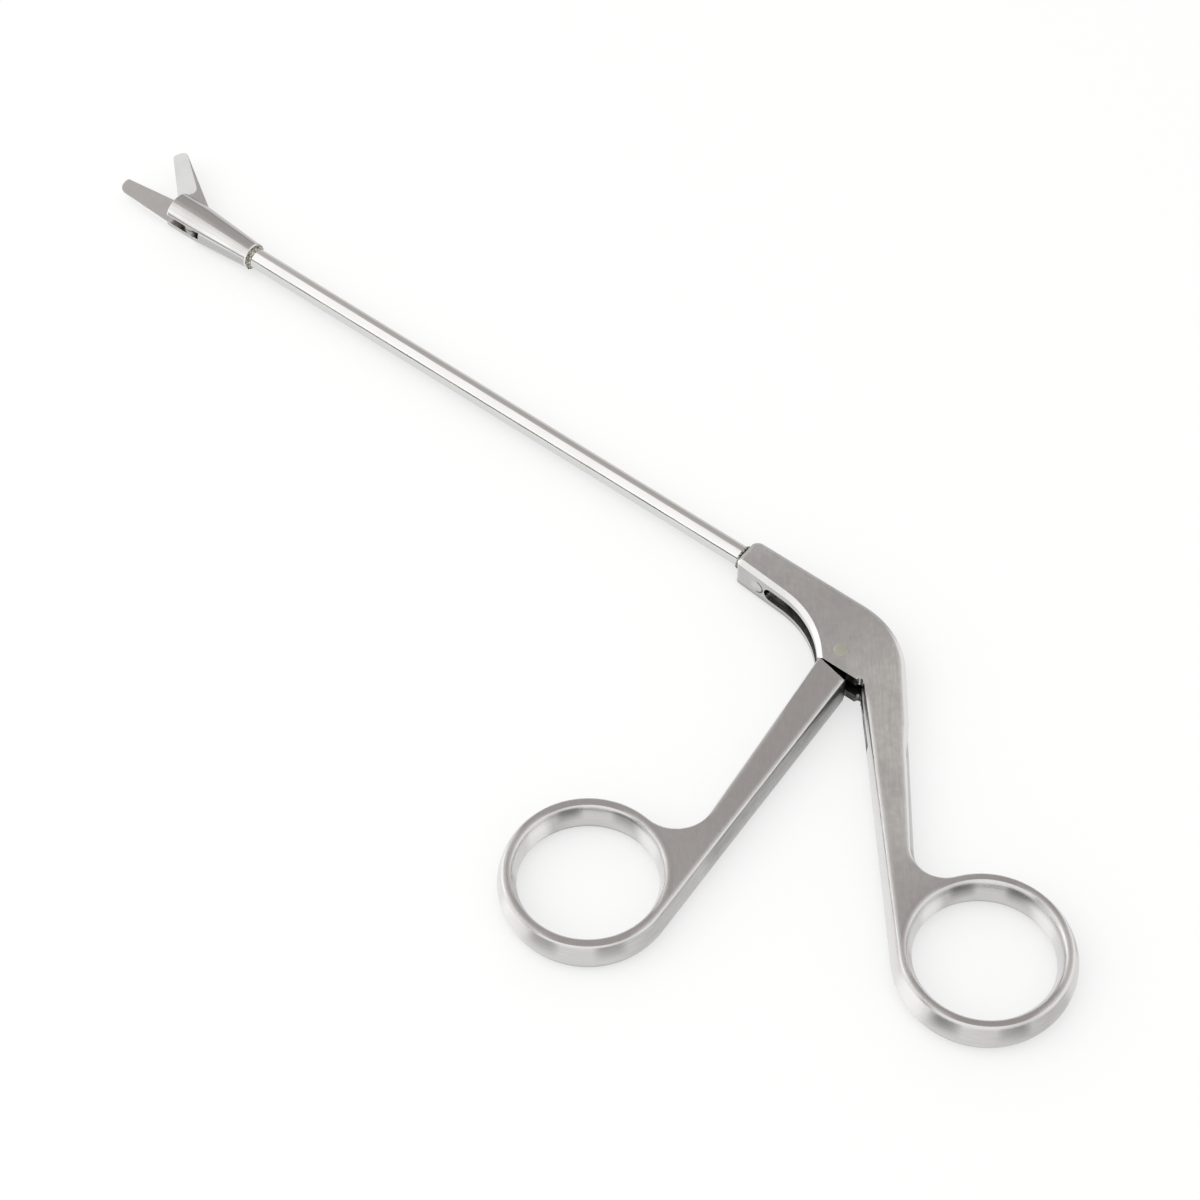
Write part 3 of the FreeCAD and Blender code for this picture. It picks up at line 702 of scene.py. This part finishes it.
def dress(name, material, sharp=28.0):
    """A smooth-shaded copy of a CAD node, welded, riding where the node rides."""
    node = frame["nodes"][name]
    skin = bmesh.new()
    skin.from_mesh(node.data)
    bmesh.ops.remove_doubles(skin, verts=skin.verts, dist=weld_distance)
    for face in skin.faces:
        face.smooth = True
    for edge in skin.edges:
        if len(edge.link_faces) == 2:
            level = [abs(face.normal.z) > dead_level for face in edge.link_faces]
            gentle = edge.calc_face_angle(0.0) < math.radians(sharp)
            edge.smooth = level[0] == level[1] and gentle
    mesh = bpy.data.meshes.new(name + "_finished")
    skin.to_mesh(mesh)
    skin.free()
    mesh.materials.clear()
    mesh.materials.append(material)
    for polygon in mesh.polygons:
        polygon.material_index = 0
    piece = bpy.data.objects.new(name + "_finished", mesh)
    bpy.context.scene.collection.objects.link(piece)
    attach(piece, node["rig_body"])
    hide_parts(name)
    return piece


def pin_measures(name):
    low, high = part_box(name)
    centre = tuple((a + b) / 2 for a, b in zip(low, high))
    return centre, (high[0] - low[0]) / 2


pin_centre, pin_radius = pin_measures("tube_lock_pin")
across_axes = (1, 0, 1)
crescent_outer = pin_radius + 0.00026
crescent_inner = pin_radius + 0.00002


def hole_crescent(tree, place):
    """A thin crescent of painted shade where the lock pin's hole stays open, on the handle side of the
    pin.
    """
    outer = near(tree, place, pin_centre, crescent_outer, fade=0.00006, axes=across_axes)
    inner = near(tree, place, pin_centre, crescent_inner, fade=0.00004, axes=across_axes)
    run = along_axis(tree, place, "X")
    behind = smooth_range(tree, run, pin_centre[0] + 0.0002, pin_centre[0] - 0.0003)
    return times(tree, times(tree, outer, behind), all_but(tree, inner))


# Painted shade on the walls of the notch by the shoulder, and in the crescent of the lock pin's hole.
def shoulder_shade(tree, place, normal, level):
    wall = toward(tree, normal, lever_way, low=0.90, high=0.97)
    wall = times(tree, wall, all_but(tree, level))
    shoulder = near(tree, place, shoulder_place, radius=0.0043, fade=0.0006)
    return times(tree, wall, math_node(tree, "MAXIMUM", shoulder, hole_crescent(tree, place)))


dress(
    "rear_handle",
    handle_finish(
        "handle_ground_steel",
        ring_centre=(-0.0466, 0.0364, 0.0),
        shank_centre=(-0.0180, 0.0155, 0.0),
        shank_tone=(0.84, 0.825, 0.795, 1),
        dark_root=shoulder_shade,
        root_tone=grey(0.075, 0.02),
        back_rim=0.27,
    ),
)


# Handle rivet: a soft steel pin peened over at both ends and ground flush, so each end
# shows as a faint yellowish disc a touch wider than its hole.
def revolve(name, axis_place, along, profile, material, body, steps=48, sharp=35.0):
    """A closed turned piece: (run, radius) points of its outline about an axis."""
    turned = bmesh.new()
    axis_turn = Vector(along).to_track_quat("Z", "X").to_matrix()
    rings = []
    for run, radius in profile:
        ring = []
        for i in range(steps if radius else 1):
            angle = 2 * math.pi * i / steps
            spot = Vector((radius * math.cos(angle), radius * math.sin(angle), run))
            ring.append(turned.verts.new(Vector(axis_place) + axis_turn @ spot))
        rings.append(ring)
    for lower, upper in zip(rings, rings[1:]):
        for i in range(steps):
            corners = [lower[i % len(lower)], lower[(i + 1) % len(lower)]]
            corners += [upper[(i + 1) % len(upper)], upper[i % len(upper)]]
            kept = [v for n, v in enumerate(corners) if v not in corners[:n]]
            if len(kept) > 2:
                turned.faces.new(kept)
    bmesh.ops.recalc_face_normals(turned, faces=turned.faces)
    for face in turned.faces:
        face.smooth = True
    for edge in turned.edges:
        edge.smooth = edge.calc_face_angle(0.0) < math.radians(sharp)
    mesh = bpy.data.meshes.new(name)
    turned.to_mesh(mesh)
    turned.free()
    mesh.materials.append(material)
    piece = bpy.data.objects.new(name, mesh)
    bpy.context.scene.collection.objects.link(piece)
    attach(piece, body)
    return piece


def pin_finish(name, tone, rough, dark_share):
    """Turned pin steel: faint lathe clouds over a plain tone, rubbed at its rim."""
    steel, tree, bsdf, place, _ = start_steel(name)
    edge = place_group(tree, edge_wear_and_highlight)
    shade = place_group(tree, slot_shade, Low=0.10, High=0.40)
    soft = clouds(tree, place, 1400.0, low=0.35, high=0.70)
    streaks, fine = grain(tree, place, handle_grind, per_metre=9000.0, length=14.0)
    darker = tuple(0.72 * part for part in tone[:3]) + (1,)
    mixed = lay_on(tree, tone, soft, 0.30, darker)
    mixed = lay_on(tree, mixed, fine, 0.18, grey(0.85))
    # Painted shade in slots, as much as dark_share gives.
    mixed = lay_on(tree, mixed, shade.outputs["Mask"], dark_share, grey(0.02))
    worn = swing(tree, soft, rough, rough + 0.08)
    finish_steel(tree, bsdf, mixed, worn, streaks, edge.outputs["Normal"], bump_depth=0.00001)
    return steel


rivet_tone = (0.63, 0.61, 0.50, 1)
rivet_steel = pin_finish("rivet_soft_steel", rivet_tone, rough=0.38, dark_share=0.0)
dress("handle_pivot_rivet", rivet_steel)
rivet_low, rivet_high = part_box("handle_pivot_rivet")
rivet_centre, rivet_radius = pin_measures("handle_pivot_rivet")
rivet_spread = rivet_radius * 1.05
rivet_flat = rivet_spread * 0.9
rivet_proud = 0.000012
rivet_sunk = -0.0001
rivet_outline = [
    (rivet_sunk, 0),
    (rivet_sunk, rivet_radius),
    (0, rivet_spread),
    (rivet_proud, rivet_flat),
    (rivet_proud, 0),
]
rivet_ends = (("rivet_head_top", rivet_high[2], 1), ("rivet_head_under", rivet_low[2], -1))
for name, level, way in rivet_ends:
    revolve(
        name,
        (rivet_centre[0], rivet_centre[1], level),
        (0, 0, way),
        rivet_outline,
        rivet_steel,
        "root",
    )


# Finger lever: shank and ring of the same steel on a short tongue and fork, which turn
# in the slot of the body; the tongue is painted dark there as shade.
tongue_half = 0.0014
tongue_fade = 0.0003


# Painted shade on the middle of the tongue, inside the slot near the rivet.
def tongue_shade(tree, place, normal, level):
    above = math_node(tree, "SUBTRACT", along_axis(tree, place, "Z"), mid_height)
    core = smooth_range(
        tree, math_node(tree, "ABSOLUTE", above), tongue_half, tongue_half + tongue_fade, 1.0, 0.0
    )
    return times(tree, core, near(tree, place, rivet_place, radius=0.0055, fade=0.0025))


dress(
    "finger_lever",
    handle_finish(
        "lever_ground_steel",
        ring_centre=(0.0066, 0.06105, 0.0),
        shank_centre=(0.0005, 0.030, 0.0),
        shank_tone=(0.52, 0.49, 0.48, 1),
        dark_root=tongue_shade,
        root_tone=grey(0.05, 0.02),
        back_rim=0.80,
    ),
)

# Shaft: a drawn steel tube, polished round, that holds the drive rod. It is pushed into
# the nose of the body and soldered there.
lean_fade = 0.002
under_way = Vector((0.0, 0.82, -0.57))


def round_normals(piece, lean=0.0, lean_end=1.0, match=0.975):
    """True round shading for a piece turned about the shaft; lean tips a cone's normals."""
    mesh = piece.data
    normals = [Vector(corner.vector) for corner in mesh.corner_normals]
    for polygon in mesh.polygons:
        for index in polygon.loop_indices:
            place = mesh.vertices[mesh.loops[index].vertex_index].co
            out = Vector((0.0, place.y, place.z - mid_height)).normalized()
            share = min(max((lean_end - place.x) / lean_fade, 0.0), 1.0)
            true = (out + Vector((lean * share, 0.0, 0.0))).normalized()
            if true.dot(polygon.normal) > match:
                normals[index] = true
    mesh.normals_split_custom_set(normals)


def polished_finish(name, top_tone, side_tone, rough, grain_angle):
    """Polished tube steel with fine lines, its top and sides painted lighter or darker by the way they
    face, as painted light and shade.
    """
    steel, tree, bsdf, place, normal = start_steel(name)
    edge = place_group(tree, edge_wear_and_highlight)
    shade = place_group(tree, slot_shade, Low=0.22, High=0.55)
    soft = clouds(tree, place, 160.0, low=0.35, high=0.75)
    streaks, fine = grain(tree, place, grain_angle, per_metre=7000.0, length=40.0)
    # Painted light and shade by heading: palest on the open side toward the lever, darker below and on
    # the far side.
    open_side = toward(tree, normal, lever_way, low=-0.04, high=0.12, axes=all_axes)
    tone = mix_colour(tree, open_side, top_tone, grey(0.97, 0.01))
    side = toward(tree, normal, under_way, low=0.26, high=0.31, axes=all_axes)
    tone = mix_colour(tree, side, tone, side_tone)
    far_side = toward(tree, normal, -lever_way, low=0.22, high=0.50, axes=all_axes)
    tone = mix_colour(tree, far_side, tone, grey(0.50, 0.02))
    tone = lay_on(tree, tone, soft, 0.10, grey(0.62, 0.02))
    tone = lay_on(tree, tone, fine, 0.10, grey(0.80, 0.02))
    # Painted highlight along the edges, with a little wear.
    tone = lay_on(tree, tone, edge.outputs["Mask"], 0.85, grey(0.95, 0.01))
    # Painted shade in slots and gaps.
    tone = mix_colour(tree, shade.outputs["Mask"], tone, grey(0.02))
    worn = swing(tree, soft, rough, rough + 0.05)
    finish_steel(tree, bsdf, tone, worn, streaks, edge.outputs["Normal"], bump_depth=0.000006)
    return steel


shaft_tube = dress(
    "shaft_tube",
    polished_finish(
        "shaft_polished_steel",
        top_tone=(0.92, 0.89, 0.865, 1),
        side_tone=(0.67, 0.68, 0.66, 1),
        rough=0.12,
        grain_angle=0.0,
    ),
)
round_normals(shaft_tube)

# Solder at the nose: where the tube enters the body a thin uneven seam of silver
# solder has crept out, dark with flux in places and yellowish in others.
def grow_grains(name, place, ring_radius, bead, grains, grain_size, seed, material, body):
    """A ring of solder about the shaft axis: an uneven bead with grains stuck to it."""
    tree = bpy.data.node_groups.new(name, "GeometryNodeTree")
    inputs = (
        ("Ring radius", VALUE, ring_radius),
        ("Bead", VALUE, bead),
        ("Grain size", VALUE, grain_size),
        ("Grains", "NodeSocketInt", grains),
        ("Seed", "NodeSocketInt", seed),
        ("Place", VECTOR, place),
    )
    for label, kind, value in inputs:
        socket = tree.interface.new_socket(label, in_out="INPUT", socket_type=kind)
        socket.default_value = value
    tree.interface.new_socket("Finish", in_out="INPUT", socket_type="NodeSocketMaterial")
    tree.interface.new_socket("Geometry", in_out="OUTPUT", socket_type="NodeSocketGeometry")
    given = new_node(tree, "NodeGroupInput")
    made = new_node(tree, "NodeGroupOutput")

    circle = new_node(tree, "GeometryNodeCurvePrimitiveCircle")
    circle.inputs["Resolution"].default_value = 120
    wander = new_node(tree, "ShaderNodeTexNoise", "uneven creep", noise_dimensions="4D")
    wander.inputs["Scale"].default_value = 1100.0
    centred = new_node(tree, "ShaderNodeVectorMath", operation="SUBTRACT")
    centred.inputs[1].default_value = (0.5, 0.5, 0.5)
    creep = new_node(tree, "ShaderNodeVectorMath", operation="SCALE")
    moved = new_node(tree, "GeometryNodeSetPosition")
    section = new_node(tree, "GeometryNodeCurvePrimitiveCircle")
    section.inputs["Resolution"].default_value = 10
    bead_half = math_node(tree, "MULTIPLY", given.outputs["Bead"], 0.5)
    rope = new_node(tree, "GeometryNodeCurveToMesh")

    stops = new_node(tree, "GeometryNodeResampleCurve")
    scatter = new_node(tree, "FunctionNodeRandomValue", "grain offset", data_type="FLOAT_VECTOR")
    scatter.inputs[0].default_value = (-1, -1, -1)
    scatter.inputs[1].default_value = (1, 1, 1)
    spread = new_node(tree, "ShaderNodeVectorMath", operation="SCALE")
    strewn = new_node(tree, "GeometryNodeSetPosition")
    grain_ball = new_node(tree, "GeometryNodeMeshIcoSphere")
    grain_ball.inputs["Subdivisions"].default_value = 2
    sizes = new_node(tree, "FunctionNodeRandomValue", "grain stretch", data_type="FLOAT_VECTOR")
    sizes.inputs[0].default_value = (0.45, 0.45, 0.45)
    sizes.inputs[1].default_value = (1.2, 1.2, 1.2)
    placed = new_node(tree, "GeometryNodeInstanceOnPoints")
    real = new_node(tree, "GeometryNodeRealizeInstances")
    whole = new_node(tree, "GeometryNodeJoinGeometry")
    upright = new_node(tree, "GeometryNodeTransform")
    upright.inputs["Rotation"].default_value = (0, math.pi / 2, 0)
    coated = new_node(tree, "GeometryNodeSetMaterial")
    smooth = new_node(tree, "GeometryNodeSetShadeSmooth")
    join(
        tree,
        (given.outputs["Ring radius"], circle.inputs["Radius"]),
        (given.outputs["Seed"], wander.inputs["W"]),
        (wander.outputs["Color"], centred.inputs[0]),
        (centred.outputs[0], creep.inputs[0]),
        (given.outputs["Bead"], creep.inputs["Scale"]),
        (circle.outputs["Curve"], moved.inputs["Geometry"]),
        (creep.outputs[0], moved.inputs["Offset"]),
        (bead_half, section.inputs["Radius"]),
        (moved.outputs["Geometry"], rope.inputs["Curve"]),
        (section.outputs["Curve"], rope.inputs["Profile Curve"]),
        (circle.outputs["Curve"], stops.inputs["Curve"]),
        (given.outputs["Grains"], stops.inputs["Count"]),
        (given.outputs["Seed"], scatter.inputs["Seed"]),
        (scatter.outputs[0], spread.inputs[0]),
        (bead_half, spread.inputs["Scale"]),
        (stops.outputs["Curve"], strewn.inputs["Geometry"]),
        (spread.outputs[0], strewn.inputs["Offset"]),
        (given.outputs["Grain size"], grain_ball.inputs["Radius"]),
        (given.outputs["Seed"], sizes.inputs["Seed"]),
        (strewn.outputs["Geometry"], placed.inputs["Points"]),
        (grain_ball.outputs["Mesh"], placed.inputs["Instance"]),
        (scatter.outputs[0], placed.inputs["Rotation"]),
        (sizes.outputs[0], placed.inputs["Scale"]),
        (placed.outputs["Instances"], real.inputs["Geometry"]),
        (rope.outputs["Mesh"], whole.inputs["Geometry"]),
        (real.outputs["Geometry"], whole.inputs["Geometry"]),
        (whole.outputs["Geometry"], upright.inputs["Geometry"]),
        (given.outputs["Place"], upright.inputs["Translation"]),
        (upright.outputs["Geometry"], coated.inputs["Geometry"]),
        (given.outputs["Finish"], coated.inputs["Material"]),
        (coated.outputs["Geometry"], smooth.inputs["Geometry"]),
        (smooth.outputs["Geometry"], made.inputs["Geometry"]),
    )
    piece = bpy.data.objects.new(name, bpy.data.meshes.new(name))
    bpy.context.scene.collection.objects.link(piece)
    growth = piece.modifiers.new(name, "NODES")
    growth.node_group = tree
    growth[tree.interface.items_tree["Finish"].identifier] = material
    grown = piece.evaluated_get(bpy.context.evaluated_depsgraph_get())
    mesh = bpy.data.meshes.new_from_object(grown)
    piece.modifiers.clear()
    piece.data = mesh
    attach(piece, body)
    return piece


def solder_finish(name, specks_per_metre):
    """Silver solder: pale yellow metal with dark specks of burnt flux."""
    solder, tree, bsdf, place, _ = start_steel(name)
    edge = place_group(tree, edge_wear_and_highlight)
    shade = place_group(tree, slot_shade, Low=0.42, High=0.78)
    specks = clouds(tree, place, specks_per_metre, low=0.48, high=0.56)
    tints = clouds(tree, place, specks_per_metre * 0.45, low=0.40, high=0.62)
    tone = mix_colour(tree, tints, (0.66, 0.64, 0.56, 1), (0.36, 0.34, 0.29, 1))
    tone = lay_on(tree, tone, specks, 0.90, (0.050, 0.047, 0.040, 1))
    # Painted shade in the crevices of the bead.
    tone = lay_on(tree, tone, shade.outputs["Mask"], 0.85, (0.030, 0.028, 0.024, 1))
    rough = swing(tree, specks, 0.26, 0.62)
    finish_steel(tree, bsdf, tone, rough, specks, edge.outputs["Normal"], bump_depth=0.00006)
    return solder


nose_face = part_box("rear_handle")[1][0]
seam_ahead = 0.0006
tube_low, tube_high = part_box("shaft_tube")
tube_radius = (tube_high[2] - tube_low[2]) / 2
grow_grains(
    "nose_solder",
    place=(nose_face + seam_ahead, 0.0, mid_height),
    ring_radius=tube_radius,
    bead=0.00046,
    grains=90,
    grain_size=0.00012,
    seed=3,
    material=solder_finish("silver_solder", specks_per_metre=4200.0),
    body="root",
)

# Jaw housing and fixed blade: a cone turned from bar, slotted for the moving blade, its
# lower ear drawn out into the fixed blade, whose flat is ground across.
housing_low, housing_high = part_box("jaw_housing")
housing_rear, tip = housing_low[0], housing_high[0]
blade_length = 0.0114
blade_root = tip - blade_length
root_fade = 0.0004
across_grind = math.radians(74.0)
pivot_centre = pin_measures("blade_pivot_pin")[0]
blade_ground = (0.56, 0.535, 0.52, 1)
blade_streak = (0.46, 0.44, 0.43, 1)
cone_tone = (0.75, 0.725, 0.715, 1)
cone_cloud = (0.50, 0.48, 0.475, 1)
slot_front_shade = (0.30, 0.265, 0.25, 1)
housing_lean = -0.15


def housing_finish(name):
    """Polished cone with painted light and shade by heading, paler on the lever side, and the fixed
    blade ground across its flat.
    """
    steel, tree, bsdf, place, normal = start_steel(name)
    edge = place_group(tree, edge_wear_and_highlight, Low=0.01, High=0.16)
    shade = place_group(tree, slot_shade, Low=0.10, High=0.36)
    at_pin = near(tree, place, pivot_centre, radius=0.0010, fade=0.0002)
    flush = swing(tree, at_pin, 1.0, 0.0)
    soft = clouds(tree, place, 190.0, low=0.35, high=0.75)
    along, fine = grain(tree, place, 0.0, per_metre=7000.0, length=30.0)
    across, wide = grain(tree, place, across_grind, per_metre=6500.0, length=12.0)
    # Painted light and shade on the cone: paler turning toward the lever side, darker on the wall
    # beyond and on the far side, with a thin painted reflection of a dark gap between.
    side = toward(tree, normal, lever_way, low=0.40, high=0.55, axes=all_axes)
    wall = toward(tree, normal, lever_way, low=0.86, high=0.94, axes=all_axes)
    cone = mix_colour(tree, side, cone_tone, grey(0.86, 0.01))
    cone = mix_colour(tree, wall, cone, grey(0.46))
    brink = toward(tree, normal, lever_way, low=0.80, high=0.83, axes=all_axes)
    past = toward(tree, normal, lever_way, low=0.86, high=0.89, axes=all_axes)
    dark_gap_reflection = times(tree, brink, all_but(tree, past))
    cone = lay_on(tree, cone, dark_gap_reflection, 0.8, grey(0.12))
    far_side = toward(tree, normal, -lever_way, low=0.24, high=0.46, axes=all_axes)
    cone = mix_colour(tree, far_side, cone, grey(0.46, 0.02))
    cone = lay_on(tree, cone, soft, 0.20, cone_cloud)
    cone = lay_on(tree, cone, fine, 0.16, grey(0.88, 0.01))
    flat = lay_on(tree, blade_ground, across, 0.38, blade_streak)
    flat = lay_on(tree, flat, wide, 0.20, grey(0.90, 0.01))
    run = along_axis(tree, place, "X")
    ahead = smooth_range(tree, run, blade_root - root_fade, blade_root)
    share = times(tree, ahead, levelness(tree, normal))
    # The drawn-out blade is painted paler on the lever side, as painted light.
    drawn = lay_on(tree, cone, side, ahead, grey(0.90, 0.01))
    tone = mix_colour(tree, share, drawn, flat)
    # Painted highlight along the edges, with a little wear, but not at the pin.
    worn_edge_highlight = times(tree, edge.outputs["Mask"], flush)
    tone = lay_on(tree, tone, worn_edge_highlight, 0.9, grey(0.97, 0.01))
    # Painted shade in the slot: near black behind the pivot, a lighter brown-grey in front of it.
    front = smooth_range(tree, run, pivot_centre[0] - 0.0006, pivot_centre[0] + 0.0002)
    painted_slot_shade = mix_colour(tree, front, grey(0.018), slot_front_shade)
    tone = lay_on(tree, tone, shade.outputs["Mask"], flush, painted_slot_shade)
    rough = mix_value(tree, share, swing(tree, soft, 0.15, 0.20), 0.34)
    plain = new_node(tree, "ShaderNodeNewGeometry")
    rolled = new_node(tree, "ShaderNodeMix", "no rolled edge at the pin", data_type="VECTOR")
    join(
        tree,
        (flush, rolled.inputs[0]),
        (plain.outputs["Normal"], rolled.inputs[4]),
        (edge.outputs["Normal"], rolled.inputs[5]),
    )
    height = mix_value(tree, share, along, across)
    finish_steel(tree, bsdf, tone, rough, height, rolled.outputs[1], bump_depth=0.000004)
    return steel


housing_steel = housing_finish("housing_polished_steel")
jaw_housing = dress("jaw_housing", housing_steel)
round_normals(jaw_housing, housing_lean, tip)

# Braze at the housing: a fillet of silver solder between its rear end and the tube,
# left rough, with dark specks of flux all round.
braze_behind = 0.00018
braze_outward = 0.00032
braze_steel = solder_finish("braze_solder", specks_per_metre=5400.0)
dress("housing_braze", braze_steel)
grow_grains(
    "housing_braze_grains",
    place=(housing_rear - braze_behind, 0.0, mid_height),
    ring_radius=tube_radius + braze_outward,
    bead=0.00036,
    grains=120,
    grain_size=0.00013,
    seed=11,
    material=braze_steel,
    body="root",
)

# Moving blade: hardened steel, flat below, with a facet ground from its back strip down
# to the cutting edge. The facet is finer and catches the window.
blade_grind = math.radians(128.0)
back_tone = (0.56, 0.53, 0.52, 1)
back_streak = (0.38, 0.36, 0.35, 1)


def blade_finish(name):
    """Ground back strip with streaks across it, and a finer, paler facet."""
    steel, tree, bsdf, place, normal = start_steel(name)
    edge = place_group(tree, edge_wear_and_highlight, Low=0.01, High=0.12)
    shade = place_group(tree, slot_shade, Low=0.10, High=0.42)
    soft = clouds(tree, place, 260.0, low=0.38, high=0.72)
    across, wide = grain(tree, place, blade_grind, per_metre=6500.0, length=12.0)
    slope = swing(tree, levelness(tree, normal, low=0.975, high=0.992), 1.0, 0.0)
    back = lay_on(tree, back_tone, across, 0.34, back_streak)
    facet = lay_on(tree, grey(0.64, 0.005), soft, 0.35, grey(0.56))
    facet = lay_on(tree, facet, wide, 0.14, grey(0.48))
    tone = mix_colour(tree, slope, back, facet)
    # Painted highlight along the edges, with a little wear.
    tone = lay_on(tree, tone, edge.outputs["Mask"], 0.85, grey(0.97))
    # A little painted shade in the slot.
    tone = lay_on(tree, tone, shade.outputs["Mask"], 0.10, grey(0.20, 0.05))
    rough = mix_value(tree, slope, 0.34, swing(tree, soft, 0.22, 0.28))
    finish_steel(tree, bsdf, tone, rough, across, edge.outputs["Normal"], bump_depth=0.000008)
    return steel


dress("moving_blade", blade_finish("moving_blade_steel"))

# Blade pins: the pivot pin is ground and polished flush with the housing until its ends
# are lost in it, and the drive pin sits in the slot.
pivot_pin = dress("blade_pivot_pin", housing_steel)
round_normals(pivot_pin, housing_lean, tip, match=0.80)
drive_tone = (0.80, 0.79, 0.77, 1)
drive_steel = pin_finish("drive_pin_steel", drive_tone, rough=0.20, dark_share=0.3)
dress("blade_drive_pin", drive_steel)

# Drive rod: a bright rod in the shaft, its rear yoke on the lever's fork and its flat
# front link on the moving blade, all seen only through the two slots.
rod_tone = (0.84, 0.83, 0.81, 1)
rod_steel = pin_finish("drive_rod_steel", rod_tone, rough=0.20, dark_share=0.25)
link_tone = (0.90, 0.89, 0.87, 1)
link_steel = pin_finish("rod_link_steel", link_tone, rough=0.18, dark_share=0.0)
for name in ("drive_rod", "rod_yoke", "yoke_pin"):
    dress(name, rod_steel)
dress("rod_link", link_steel)

# Tube lock pin: pressed across the nose through the front wall and dressed flush, so only
# the crescent of its hole, painted as shade in the handle's wall, tells where it sits.
lock_steel = pin_finish("lock_pin_steel", grey(0.58, 0.015), rough=0.24, dark_share=0.0)
dress("tube_lock_pin", lock_steel)
